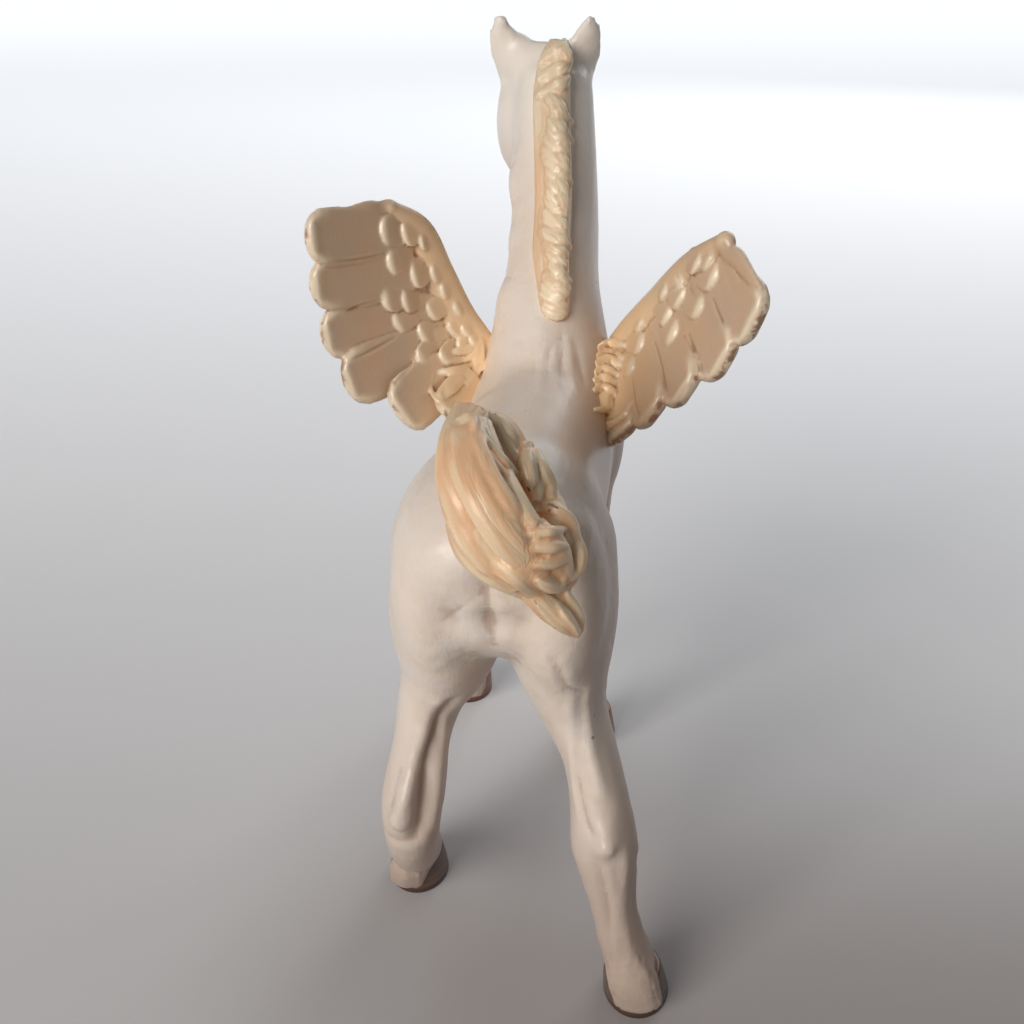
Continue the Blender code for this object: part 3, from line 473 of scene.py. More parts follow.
class Skins:
    """Closed skins that one piece is melted from, with marks that its paint and relief follow.

    The marks of a point are: how far along its skin it is in millimetres, how far across, its
    share of the skin's length, how much it belongs to a raised rim, a tone and the skin's number.
    """

    def __init__(self):
        self.points, self.faces, self.marks = [], [], []
        self.count = 0
        self.number = 0

    def surface(self):
        """All the skins so far, which rays can meet."""
        return BVHTree.FromPolygons(np.vstack(self.points).tolist(), self.faces)

    def covert(self, root, tip, width, facing):
        """A short feather like half an egg, low at its root and proud at its round tip."""
        rows = []
        for share, full, thick in COVERT_OUTLINE:
            middle = between(root, tip, share) + (0.25 * share - 0.2) * facing
            rows.append((*middle, full * width / 2, thick, thick))
        self.tube(rows, None, facing, 22, 5, tone=COVERT_TONE)

    def loft(self, rings, marks):
        """A closed skin through rings of points that have as many points each."""
        rings = np.asarray(rings, float)
        rows, sides = rings.shape[:2]
        start = self.count
        for i in range(rows - 1):
            for j in range(sides):
                k = (j + 1) % sides
                a, b = start + i * sides, start + (i + 1) * sides
                self.faces.append((a + j, b + j, b + k, a + k))
        self.faces.append(tuple(start + j for j in range(sides)))
        self.faces.append(tuple(start + (rows - 1) * sides + j for j in reversed(range(sides))))
        self.points.append(rings.reshape(-1, 3))
        self.number += 1
        own = np.full((rows * sides, 1), (0.618 * self.number) % 1.0)
        self.marks.append(np.hstack((np.asarray(marks, float).reshape(rows * sides, 5), own)))
        self.count += rows * sides

    def tube(self, rows, side, facing, sides, steps, boxy=2.0, tone=0.0, strands=0, depth=0.0):
        """Oval sections along a line. Each row is x, y, z, half width, and half depth in front and
        behind. Strands is how many combed hairs go round the tube, and depth how deep they are."""
        rows = smooth_rows(rows, steps)
        rows[:, 3:5] = np.maximum(rows[:, 3:5], 0.05)
        middles = rows[:, :3]
        along = np.gradient(middles, axis=0)
        along /= np.linalg.norm(along, axis=1)[:, None]
        travel = np.concatenate(((0.0,), np.cumsum(np.linalg.norm(np.diff(middles, axis=0), axis=1))))
        angles = np.arange(sides) * math.tau / sides
        across = np.sign(np.cos(angles)) * np.abs(np.cos(angles)) ** (2 / boxy)
        out = np.sign(np.sin(angles)) * np.abs(np.sin(angles)) ** (2 / boxy)
        rings, marks = [], []
        for i, (middle, way, (wide, front, back)) in enumerate(zip(middles, along, rows[:, 3:])):
            width = unit(np.cross(way, facing)) if side is None else unit(side - np.dot(side, way) * way)
            deep = np.cross(width, way)
            share = travel[i] / travel[-1]
            comb = 1.0
            if strands:
                wander = 1.1 * math.sin(4.4 * share + self.number) + self.number
                hairs = np.sin(strands * angles + wander) + 0.5 * np.sin((strands + 5) * angles - wander)
                comb = 1.0 + depth * hairs * (1 - 0.5 * share)
            places = np.outer(wide * across * comb, width)
            places += np.outer(np.where(out > 0, front, back) * out * comb, deep)
            rings.append(middle + places)
            marks.append([(travel[i], wide * a, share, 0.0, tone) for a in across])
        self.loft(rings, marks)

    def strand(self, points, widths, thickness, side, facing, sides, tone, strands, depth):
        """A lock of hair that follows a curve through the points, as wide there as the widths say."""
        rows = [(*point, wide / 2, thickness / 2, thickness / 2) for point, wide in zip(points, widths)]
        self.tube(rows, side, facing, sides, 7, 2.2, tone, strands, depth)

    def sheet(self, edge, far_edge, facings, thickness, tone):
        """A closed plate between two edges that have as many points, this thick along the facings."""
        rings, marks = [], []
        near, far, faces = (smooth_rows(line, 4) for line in (edge, far_edge, facings))
        for a, b, face in zip(near, far, faces):
            lift = unit(face) * thickness / 2
            row = [between(a, b, share) for share in np.linspace(0, 1, 14)]
            rings.append([p + lift for p in row] + [p - lift for p in reversed(row)])
            marks.append([(0.0, 0.0, 0.0, 0.0, tone)] * 28)
        self.loft(rings, marks)

    def feather(self, base, tip, width, facing, rim):
        """A flat feather with a round tip, a shaft down its middle and a raised rim round its end."""
        base, tip = np.asarray(base, float), np.asarray(tip, float)
        length = np.linalg.norm(tip - base)
        way = unit(tip - base)
        side = unit(np.cross(way, facing))
        lift = np.cross(side, way)
        side = math.cos(FEATHER_TILT) * side + math.sin(FEATHER_TILT) * lift
        shares = 1 - (1 - np.linspace(0, 1, max(10, int(length / FEATHER_STEP)))) ** 1.25
        over = np.linspace(-1, 1, max(9, int(width / FEATHER_STEP)))
        stops, fulls = zip(*FEATHER_OUTLINE)
        rings, marks = [], []
        for share in shares:
            half = width / 2 * float(np.interp(share, stops, fulls))
            middle = between(base, tip, share) - lift * FEATHER_SAG * math.sin(math.pi * share)
            edge = np.minimum((1 - np.abs(over)) * half, (1 - share) * length)
            ending = float(ease(0.68, 0.9, share))
            raised = ending * np.exp(-(((edge - RIM_PLACE) / RIM_HALF_WIDTH) ** 2))
            full = FEATHER_THICKNESS / 2 * (1 - FEATHER_SWELL * (1 - share))
            up = full * np.sqrt(np.maximum(0.0, 1 - np.abs(over) ** 6))
            shaft = 0.07 * np.exp(-((over * half / 0.22) ** 2)) * (1 - share)
            up += rim * raised + shaft * (rim > 0)
            up = np.maximum(up, 0.02) * float(np.interp(share, (0.0, 0.96, 1.0), (1.0, 1.0, 0.5)))
            flat = middle + np.outer(over * half, side)
            top, under = flat + np.outer(up, lift), flat - np.outer(up, lift)
            rings.append(np.vstack((top, under[-2:0:-1])))
            raised = np.where((edge < 0.16) & (ending > 0.3), 2.0, raised)
            mark = [(share * length, o * half, share, r, FLIGHT_TONE) for o, r in zip(over, raised)]
            marks.append(mark + mark[-2:0:-1])
        self.loft(rings, marks)

    def lump(self, middle, radii, tone=0.0):
        """A swelling shaped like an egg with these half sizes along X, Y and Z."""
        x, y, z = middle
        wide, long, high = radii
        rows = []
        for share in (-0.98, -0.8, -0.45, 0.0, 0.45, 0.8, 0.98):
            girth = math.sqrt(1 - share**2)
            rows.append((x, y, z + high * share, wide * girth, long * girth, long * girth))
        self.tube(rows, RIGHT, None, 20, 3, tone=tone)


def only(made):
    """Selects this object alone, or none, and makes it active."""
    for other in bpy.context.scene.objects:
        other.select_set(other == made)
    bpy.context.view_layer.objects.active = made


def apply_modifier(made, kind, **settings):
    """Adds a modifier with these settings and applies it."""
    only(made)
    modifier = made.modifiers.new(kind.lower(), kind)
    for name, value in settings.items():
        setattr(modifier, name, value)
    bpy.ops.object.modifier_apply(modifier=modifier.name)


class Clay:
    """One piece while it is worked: its object, its points in millimetres and their marks."""

    def __init__(self, name, skins, voxel, soften, double=False):
        mesh = bpy.data.meshes.new(name)
        source = np.vstack(skins.points)
        mesh.from_pydata((source * MM).tolist(), [], skins.faces)
        shape = bmesh.new()
        shape.from_mesh(mesh)
        bmesh.ops.recalc_face_normals(shape, faces=shape.faces)
        shape.to_mesh(mesh)
        shape.free()
        self.object = bpy.data.objects.new(name, mesh)
        bpy.context.scene.collection.objects.link(self.object)
        apply_modifier(self.object, "REMESH", mode="VOXEL", voxel_size=voxel * MM)
        if soften:
            apply_modifier(self.object, "SMOOTH", factor=0.5, iterations=soften)
        if double:
            apply_modifier(self.object, "SUBSURF", levels=1, render_levels=1)
        self.read()
        self.marks = self.nearest_marks(source, np.vstack(skins.marks))

    def read(self):
        """Takes the points and edges from the mesh."""
        mesh = self.object.data
        self.points = np.empty(len(mesh.vertices) * 3)
        mesh.vertices.foreach_get("co", self.points)
        self.points = self.points.reshape(-1, 3) / MM
        self.edges = np.empty(len(mesh.edges) * 2, int)
        mesh.edges.foreach_get("vertices", self.edges)
        self.edges = self.edges.reshape(-1, 2)

    def nearest_marks(self, source, marks):
        """Each point takes the marks of the nearest point of the skins it was melted from."""
        tree = kdtree.KDTree(len(source))
        for i, place in enumerate(source):
            tree.insert(place, i)
        tree.balance()
        return marks[[tree.find(place)[1] for place in self.points]]

    def surface(self):
        """The piece's skin as it stands now, which lines of sight can meet."""
        self.write()
        faces = [tuple(face.vertices) for face in self.object.data.polygons]
        return BVHTree.FromPolygons(self.points.tolist(), faces)

    def draw(self, lines, depth):
        """Strokes along lines that are drawn as the camera sees them."""
        surface = self.surface()
        for width, height, pixels in lines:
            self.stroke(seen_at(surface, pixels, depth), width, height)

    def average(self, values, rounds=1, pull=1.0):
        """The values, drawn towards the mean of their neighbours for some rounds."""
        values = np.asarray(values, float)
        flat = values.reshape(len(values), -1)
        first, second = self.edges[:, 0], self.edges[:, 1]
        near = np.bincount(np.concatenate((first, second)), minlength=len(flat))[:, None]
        for _ in range(rounds):
            total = np.empty_like(flat)
            for column in range(flat.shape[1]):
                from_second = np.bincount(first, flat[second, column], len(flat))
                from_first = np.bincount(second, flat[first, column], len(flat))
                total[:, column] = from_second + from_first
            flat = flat + pull * (total / np.maximum(near, 1) - flat)
        return flat.reshape(values.shape)

    def write(self):
        """Puts the points back into the mesh, still counted from the sculptor's zero."""
        mesh = self.object.data
        mesh.vertices.foreach_set("co", (self.points * MM).ravel())
        mesh.update()

    def normals(self):
        """The outward direction at each point."""
        self.write()
        found = np.empty(len(self.points) * 3, np.float32)
        self.object.data.vertex_normals.foreach_get("vector", found)
        return found.reshape(-1, 3).astype(float)

    def raise_by(self, height):
        """Moves each point outwards by its own height in millimetres."""
        self.points = self.points + self.normals() * np.asarray(height, float)[:, None]

    def stroke(self, line, width, height, facing=None):
        """A ridge, or a groove where the height is below 0, along a line that lies on the skin."""
        reach = np.sum(np.linalg.norm(np.diff(np.asarray(line, float), axis=0), axis=1))
        path = smooth_rows(line, max(6, int(2.5 * reach / width / (len(line) - 1))))
        near = np.full(len(self.points), 1e9)
        share = np.zeros(len(self.points))
        for i, place in enumerate(path):
            far = np.sum((self.points - place) ** 2, axis=1)
            closer = far < near
            near[closer] = far[closer]
            share[closer] = i / (len(path) - 1)
        weight = np.exp(-near / width**2) * np.sin(np.pi * np.clip(0.12 + 0.76 * share, 0, 1)) ** 0.6
        normals = self.normals()
        if facing is not None:
            weight *= ease(0.0, 0.5, normals @ unit(facing))
        self.points = self.points + normals * (weight * height)[:, None]

    def recess(self, rounds):
        """How far each point lies under the mean of its surroundings, in millimetres."""
        return np.einsum("ij,ij->i", self.average(self.points, rounds, 0.7) - self.points, self.normals())

    def keep(self, name, values):
        """Stores one number for each point in the mesh, for the piece's material."""
        data = self.object.data.attributes.new(name, "FLOAT", "POINT").data
        data.foreach_set("value", np.asarray(values, np.float32))

    def keep_hollows(self, fine, rounds, broad):
        """Stores how far each point lies in a fine and in a broad hollow, as shares of these depths
        in millimetres. The broad one is found over this many rounds of averaging."""
        self.keep("recess", np.clip(self.recess(4) / fine, -1, 1))
        self.keep("hollow", np.clip(self.recess(rounds) / broad, -1, 1))

    def finish(self, material, slot):
        """Takes the piece to the model's frame, above the floor, and paints it."""
        self.points = self.points + SCULPTOR_ZERO
        self.points[:, 2] = np.maximum(self.points[:, 2], 0.0)
        self.write()
        self.object.data.shade_smooth()
        hand_over(self.object, material)
        return self.object


def hand_over(made, material):
    """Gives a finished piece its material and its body."""
    made.data.materials.clear()
    made.data.materials.append(material)
    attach(made, "root")


def rough_noise(points, scale, seed):
    """Smooth noise between about -1 and 1, with bumps of about this size in millimetres."""
    chance = np.random.default_rng(seed)
    total = np.zeros(len(points))
    for _ in range(14):
        way = unit(chance.normal(size=3)) * math.tau / scale * chance.uniform(0.6, 1.5)
        total += np.sin(points @ way + chance.uniform(0, math.tau))
    return total / 3.2


def neck_point(along, back=0.0, across=0.0):
    """A point on the neck's line, this far from its base, and back from the line to the crest."""
    way = np.array((0.0, math.cos(NECK_SLOPE), math.sin(NECK_SLOPE)))
    crest = np.array((0.0, -way[2], way[1]))
    base = np.array((0.0, NECK_BASE_Y, WITHERS_Z - NECK_BASE_DEPTH / 2))
    sway = float(np.interp(along / NECK_LENGTH, (0.0, 0.6, 1.0), (0.7, 0.6, -0.3)))
    return base + along * way + back * crest + (across + sway) * RIGHT


def neck_half_depth(share):
    """Half the neck's depth at this share of its length."""
    depths = (NECK_BASE_DEPTH, NECK_MIDDLE_DEPTH, NECK_TOP_DEPTH)
    return float(np.interp(share, (0.0, 0.55, 1.0), depths)) / 2


def head_point(along, front=0.0, across=0.0):
    """A point this far down the head from the poll, and forward from its line to the face."""
    way = unit((-0.06, math.cos(HEAD_SLOPE), math.sin(HEAD_SLOPE)))
    face = np.array((0.0, -math.sin(HEAD_SLOPE), math.cos(HEAD_SLOPE)))
    return neck_point(NECK_LENGTH, -0.6, -1.0) + along * way + front * face + across * RIGHT


def ear_ends(hand):
    """The root and the tip of the ear on this side."""
    root = head_point(0.05 * HEAD_LENGTH, 0.1 * JOWL_DEPTH, hand * 0.25 * HEAD_WIDTH)
    return root, neck_point(NECK_LENGTH) + EAR_REACHES[hand]


def shape_trunk(skins):
    """Barrel, rump and chest, by their back line, belly line and width."""
    lines = (
        (0.005, CROUP_Z - 5.6, FLANK_Z + 9.4, 0.40 * RUMP_WIDTH),
        (0.035, CROUP_Z - 2.4, FLANK_Z + 6.4, 0.68 * RUMP_WIDTH),
        (0.11, CROUP_Z - 0.4, FLANK_Z + 3.2, 0.92 * RUMP_WIDTH),
        (0.22, CROUP_Z, FLANK_Z + 0.6, RUMP_WIDTH),
        (0.36, CROUP_Z - 0.8, FLANK_Z, LOIN_WIDTH),
        (0.52, BACK_Z, BELLY_Z + 0.4, BARREL_WIDTH),
        (0.66, BACK_Z + 0.2, BELLY_Z, BARREL_WIDTH),
        (0.77, WITHERS_Z - 0.8, BELLY_Z - 0.2, 0.98 * BARREL_WIDTH),
        (0.87, WITHERS_Z - 0.8, BELLY_Z + 0.8, CHEST_WIDTH),
        (0.95, WITHERS_Z - 4.0, BELLY_Z + 2.4, 0.80 * CHEST_WIDTH),
        (1.0, WITHERS_Z - 9.0, BELLY_Z + 6.4, 0.42 * CHEST_WIDTH),
    )
    rows = []
    for share, top, bottom, width in lines:
        half = (top - bottom) / 2
        middle = float(np.interp(share, (0.0, 0.25, 0.6, 1.0), (-0.5, -0.4, 0.1, 0.6)))
        place = (middle, RUMP_Y + share * (CHEST_Y - RUMP_Y), (top + bottom) / 2)
        rows.append((*place, width / 2, half, half))
    skins.tube(rows, RIGHT, None, 48, 6, 2.15)


def shape_neck_and_head(skins):
    """The neck, the skull with its jowls and muzzle, the lids and the two ears."""
    widths = ((0.0, 1.5), (0.16, 1.42), (0.3, 1.2), (0.42, 1.03), (0.6, 0.96), (0.82, 0.92), (1.0, 0.86))
    rows = []
    for share, fullness in widths:
        half = neck_half_depth(share)
        rows.append((*neck_point(share * NECK_LENGTH), fullness * NECK_WIDTH / 2, half, half))
    skins.tube(rows, RIGHT, None, 40, 6)
    sections = (
        (-0.09, 0.44 * HEAD_WIDTH, 0.16, 0.24),
        (0.02, 0.84 * HEAD_WIDTH, 0.33, 0.44),
        (0.18, 0.99 * HEAD_WIDTH, 0.41, 0.58),
        (0.33, 0.97 * HEAD_WIDTH, 0.41, 0.58),
        (0.48, 0.80 * HEAD_WIDTH, 0.35, 0.46),
        (0.62, 1.06 * MUZZLE_WIDTH, 0.27, 0.32),
        (0.78, 1.02 * MUZZLE_WIDTH, 0.24, 0.28),
        (0.89, 1.04 * MUZZLE_WIDTH, 0.24, 0.27),
        (0.96, 0.86 * MUZZLE_WIDTH, 0.18, 0.22),
        (1.0, 0.44 * MUZZLE_WIDTH, 0.08, 0.10),
    )
    rows = []
    for share, width, front, back in sections:
        place = head_point(share * HEAD_LENGTH)
        rows.append((*place, width / 2, front * JOWL_DEPTH, back * JOWL_DEPTH))
    skins.tube(rows, RIGHT, None, 40, 6, 2.2)
    for middle, radii in POLL_LUMPS:
        skins.lump(middle, radii)
    for hand in EAR_REACHES:
        brow = head_point(0.33 * HEAD_LENGTH, 0.13 * JOWL_DEPTH, hand * 0.41 * HEAD_WIDTH)
        skins.lump(brow, (1.1, 1.6, 1.5))
        nose = head_point(0.91 * HEAD_LENGTH, 0.07 * JOWL_DEPTH, hand * 0.33 * MUZZLE_WIDTH)
        skins.lump(nose, (1.1, 1.1, 1.2))
        root, tip = ear_ends(hand)
        rows = []
        for share, full, thick in EAR_OUTLINE:
            middle = between(root, tip, share) + hand * RIGHT * 0.5 * math.sin(math.pi * share)
            rows.append((*middle, full * EAR_WIDTH / 2, thick, thick))
        skins.tube(rows, unit((1.0, 0.35 * hand, 0.0)), None, 24, 5, tone=0.5)


def shape_tuft(skins, fetlock, sole, aside=0.0, full=1.0):
    """The long hair behind a fetlock, which hangs over the heel, or aside of it."""
    start = np.array(fetlock) + (0.0, -0.9, 1.6)
    end = np.array((sole[0] + aside, sole[1] - 0.44 * HOOF_LENGTH, 0.9))
    middle = between(start, end, 0.55) + (0.0, -0.5, 0.0)
    rows = (
        (*start, 1.4 * full, 0.9, 0.9),
        (*between(start, middle, 0.6), 2.0 * full, 1.4, 1.3),
        (*middle, 2.5 * full, 1.6, 1.4),
        (*between(middle, end, 0.7), 2.6 * full, 1.3, 1.0),
        (*end, 2.0 * full, 0.9, 0.7),
    )
    skins.tube(rows, RIGHT, None, 28, 5, tone=1.0)


def shape_hind_leg(skins, sections, sole, aside, full):
    """Thigh, gaskin, hock, cannon and pastern of one hind leg."""
    rows = [(x, y, z, width / 2, front, back) for x, y, z, width, front, back in sections]
    skins.tube(rows, RIGHT, None, 36, 5)
    x, y, z = sections[HOCK][:3]
    skins.lump((x, y - 2.2, z + 1.6), (1.3, 1.2, 2.8))
    x, y, z = sections[THIGH][:3]
    skins.lump((x, y - 4.2, z + 2.4), (3.9, 5.2, 8.6))
    shape_tuft(skins, sections[FETLOCK][:3], sole, aside, full)


def shape_fore_leg(skins, sole, shoulder_x=4.0):
    """Shoulder, forearm, knee, cannon and pastern of one fore leg."""
    hand = math.copysign(1, sole[0])
    shoulder_z = WITHERS_Z - 12.0
    spread = (abs(sole[0]) - shoulder_x) / shoulder_z
    elbow_z = BELLY_Z + 2.0
    knee_y = between(CHEST_Y - 8.0, sole[1] - 2.6, 0.42) + 0.6
    knee, cannon, fetlock = KNEE_WIDTH, FORE_CANNON_WIDTH, FETLOCK_WIDTH
    lines = (
        (CHEST_Y - 7.0, shoulder_z, 7.2, 5.2, 5.4),
        (CHEST_Y - 7.8, elbow_z + 2.8, 7.4, 4.8, 5.4),
        (CHEST_Y - 8.2, elbow_z - 0.8, 6.6, 3.9, 4.6),
        (between(CHEST_Y - 8.4, knee_y, 0.4), between(elbow_z, FORE_KNEE_Z, 0.4), 5.4, 3.0, 3.3),
        (between(CHEST_Y - 8.4, knee_y, 0.72), between(elbow_z, FORE_KNEE_Z, 0.72), 4.4, 2.3, 2.4),
        (knee_y, FORE_KNEE_Z, knee, 2.5, 2.3),
        (knee_y + 0.2, FORE_KNEE_Z - 2.4, 0.86 * knee, 2.0, 2.1),
        (between(knee_y, sole[1] - 2.8, 0.5), between(FORE_KNEE_Z, FETLOCK_Z, 0.5), cannon, 1.7, 1.8),
        (sole[1] - 2.9, FETLOCK_Z, fetlock, 2.0, 2.3),
        (sole[1] - 2.0, between(FETLOCK_Z, CORONET_Z, 0.6), 0.92 * fetlock, 1.9, 2.1),
        (sole[1] - 1.2, CORONET_Z - 1.0, 1.1 * fetlock, 2.4, 2.4),
    )
    rows = []
    for y, z, width, front, back in lines:
        x = hand * (shoulder_x + spread * (shoulder_z - z))
        rows.append((x, float(y), float(z), width / 2, front, back))
    skins.tube(rows, RIGHT, None, 36, 5)
    skins.lump((hand * 0.36 * CHEST_WIDTH + 0.3, CHEST_Y - 6.8, WITHERS_Z - 12.5), (3.6, 5.0, 7.6))
    skins.lump((hand * 0.2 * CHEST_WIDTH + 0.3, CHEST_Y - 4.2, BELLY_Z + 8.6), (3.3, 3.6, 7.2))
    shape_tuft(skins, rows[8][:3], sole)


def along_wing(arm, tips, share):
    """The hinge on the arm and the tip that belongs to it, at this share from wrist to shoulder."""
    spot = share * (len(arm) - 1)
    counts = range(len(arm))
    hinge = np.array([np.interp(spot, counts, axis) for axis in np.transpose(arm)])
    tip = np.array([np.interp(spot, counts, axis) for axis in np.transpose(tips)])
    return hinge, tip


def shape_wing(feathers, coverts, locks, sizes):
    """One wing: its arm, a web, the flight feathers in a fan over it, coverts and root locks."""
    skins = Skins()
    withers = np.array((0.0, WING_ROOT_Y, WITHERS_Z))
    *places, widths = zip(*feathers)
    arm, bases, tips = (withers + np.array(line) for line in places)
    facing = unit(np.cross(arm[0] - arm[-1], tips[2] - bases[2]))
    facing *= -np.sign(facing[1])
    facings = []
    for hinge, tip, way in zip(arm, tips, np.gradient(arm, axis=0)):
        square = unit(np.cross(way, tip - hinge))
        facings.append(unit(square * np.sign(np.dot(square, facing)) + 0.6 * facing))
    shape_corner(skins, arm, bases[0], tips[0], widths[0], facings[0])
    rows = [(*point, full, thick, thick) for point, full, thick in zip(arm, ARM_FULLNESS, ARM_THICKNESS)]
    skins.tube(rows, unit(tips[2] - bases[2]), None, 28, 8, tone=ARM_TONE)
    skins.sheet(arm, between(arm, tips, WEB_SHARE), facings, WEB_THICKNESS, WEB_TONE)
    rim = sizes.feather_rim / MM
    for hinge, base, tip, width, own in zip(arm, bases, tips, widths, facings):
        share = np.dot(base - hinge, tip - hinge) / np.dot(tip - hinge, tip - hinge)
        base = base - np.dot(base - between(hinge, tip, share), own) * own
        skins.feather(base, tip, width, own, rim)
    for row, count in reversed(list(enumerate(HIDDEN_COVERTS))):
        surface = skins.surface()
        for k in range(count):
            hinge, tip = along_wing(arm, tips, (k + 0.5 * (row % 2) + 0.8) / (count + 0.3))
            start = between(hinge, tip, 0.06 + 0.12 * row)
            end = start + unit(tip - start) * COVERT_LENGTH
            root, reach = (laid_on(surface, place, -facing) for place in (start, end))
            skins.covert(root, reach, COVERT_WIDTH, -facing)
    for row in coverts:
        surface = skins.surface()
        reach_in = 1.3 if row is coverts[0] else 1.0
        for width, *pixels in row:
            root, reach = seen_at(surface, (pixels[:2], pixels[2:]), WING_DEPTH)
            skins.covert(between(reach, root, reach_in), reach, width, facing)
    towards = -camera_axes()[0]
    for bulk in (True, False):
        lines = [line for line in locks if (line[0] > 1.5) == bulk]
        lay_locks(skins, over_body(skins), lines, WING_DEPTH, towards)
    return skins


def shape_corner(skins, arm, base, tip, width, facing):
    """The rounded wrist, and the ridge from it along the upper edge of the first feather."""
    way = unit(tip - base)
    above = arm[0] - base
    first = np.dot(above, way) / np.linalg.norm(tip - base)
    above = unit(above - np.dot(above, way) * way)
    rows = []
    for share, full in ((0.12, 0.8), (-0.02, WRIST_RADIUS)):
        rows.append((*between(arm[0], arm[1], share), full, 0.75, 0.75))
    rise = CORNER_RISE[int(np.sign(arm[0][0]))] * width / 2
    for share, lift, full in CORNER_ROWS:
        place = between(base, tip, first + share) + above * lift * rise
        rows.append((*place, full, 0.6 * full, 0.6 * full))
    skins.tube(rows, above, facing, 20, 6, tone=CORNER_TONE)
    skins.lump(arm[0], (WRIST_RADIUS, WRIST_RADIUS, WRIST_RADIUS), ARM_TONE)


def over_body(skins):
    """The finished body with the skins over it, which rays can meet."""
    body = next(made for made in bpy.data.objects if made.name in ("body", NODE))
    places = [np.array(vert.co) / MM - SCULPTOR_ZERO for vert in body.data.vertices]
    faces = [tuple(face.vertices) for face in body.data.polygons]
    faces += [tuple(i + len(places) for i in face) for face in skins.faces]
    return BVHTree.FromPolygons(np.vstack((places, *skins.points)).tolist(), faces)


def laid_on(surface, place, facing):
    """The place, moved along facing until it lies on the surface."""
    spot = surface.ray_cast(place + 6.0 * facing, -facing)[0]
    return place + 0.5 * facing if spot is None else np.array(spot)


def shape_crest(skins, combed):
    """The bulk of the mane: a band down the crest of the neck with a ridge along its right side."""
    band, ridge = [], []
    for share in np.linspace(CREST_HIGH, CREST_LOW, 18):
        sunk = 1.5 * float(ease(0.31, CREST_LOW, share) + ease(1.0, CREST_HIGH, share))
        half = neck_half_depth(share) - sunk
        along = share * NECK_LENGTH
        aside, wide = (float(np.interp(share, CREST_SHARES, row)) for row in (CREST_ASIDE, CREST_WIDTHS))
        wide *= float(np.interp(share, (CREST_LOW, 0.3), (0.75, 1.0)))
        proud = 0.45 - 1.1 * float(ease(0.37, 0.25, share))
        band.append((*neck_point(along, half - 0.05, aside), wide, 0.7, 0.7))
        ridge.append((*neck_point(along, half + proud, aside + 0.85), 0.5 * wide + 0.05, 0.8, 0.8))
    skins.tube(band, RIGHT, None, 34, 6, 2.3, tone=0.0, strands=7, depth=combed)
    skins.tube(ridge, RIGHT, None, 28, 6, 2.0, tone=1.0, strands=5, depth=combed)


def shape_mane():
    """The crest with short locks that fall over its ridge to the right, and the forelock."""
    bulk = Skins()
    shape_crest(bulk, 0.0)
    surface = bulk.surface()
    towards = -camera_axes()[0]
    skins = Skins()
    shape_crest(skins, 0.04)
    spread = np.random.default_rng(MANE_SEED)
    lines = list(POLL_LINES)
    for k in range(MANE_LOCKS):
        y = MANE_TOP + MANE_PITCH * k + spread.uniform(-3.0, 3.0)
        wander = 4.0 * math.sin(0.9 * k) + spread.uniform(-3.0, 3.0)
        drop = (spread.uniform(9.0, 17.0) if y < 245 else spread.uniform(3.0, 9.0)) * (y < 305)
        end = 569 + spread.uniform(-4.0, 2.0) - 4.0 * (abs(y - 209) < 6) - 0.3 * max(y - 300, 0)
        left = float(np.interp(y, (100, 200, 300), (549, 547, 544)))
        line = (
            (left + wander, y - 7),
            (553 + 0.6 * wander, y - 2 + spread.uniform(-1.5, 1.5)),
            (561, y + 0.45 * drop),
            (end, y + drop),
        )
        lines.append((spread.uniform(1.0, 1.9), 1.0, spread.uniform(0.08, 0.32), 1.0, line))
    lay_locks(skins, surface, lines, MANE_DEPTH, towards)
    for aside, reach in FORELOCKS:
        points = (
            head_point(-0.06 * HEAD_LENGTH, 0.1 * JOWL_DEPTH, 0.4 * aside),
            head_point(0.3, 0.36 * JOWL_DEPTH, 0.8 * aside),
            head_point(0.5 * reach, 0.46 * JOWL_DEPTH, 1.6 * aside),
            head_point(reach, 0.44 * JOWL_DEPTH, 2.2 * aside),
        )
        skins.strand(points, (2.0, 2.4, 1.9, 0.5), 1.2, RIGHT, None, 28, 1.0, 7, 0.08)
    return skins


def lay_locks(skins, surface, lines, depth, towards):
    """Locks of hair along lines that are drawn as the camera sees them on the surface."""
    for width, thickness, lift, tone, pixels in lines:
        shares = np.linspace(0, 1, len(pixels))
        rises = lift - thickness * np.interp(shares, (0, 0.3, 0.75, 1), (0.6, 0.25, 0.25, 0.6))
        points = [place + rise * towards for place, rise in zip(seen_at(surface, pixels, depth), rises)]
        widths = width * np.interp(shares, (0, 0.2, 0.75, 1), (0.6, 1.0, 1.0, 0.5))
        skins.strand(points, widths, thickness, None, towards, 30, tone, 7, 0.07)


def shape_plume(skins, combed):
    """The bulk of the tail: it lifts off the croup, turns over and curls in at its lower end."""
    root = np.array((0.3, RUMP_Y + 2.6, CROUP_Z - 2.6))
    skins.lump(root, (1.9, 1.9, 2.2))
    for width, thickness, *reaches in TAIL_LOCKS:
        points = root + np.array(reaches)
        taper = np.interp(np.linspace(0, 1, len(points)), (0, 0.3, 0.8, 1), (0.8, 1.0, 0.95, 0.6))
        skins.strand(points, width * taper, thickness, None, PLUME_FACING, 40, 0.4, 9, combed)


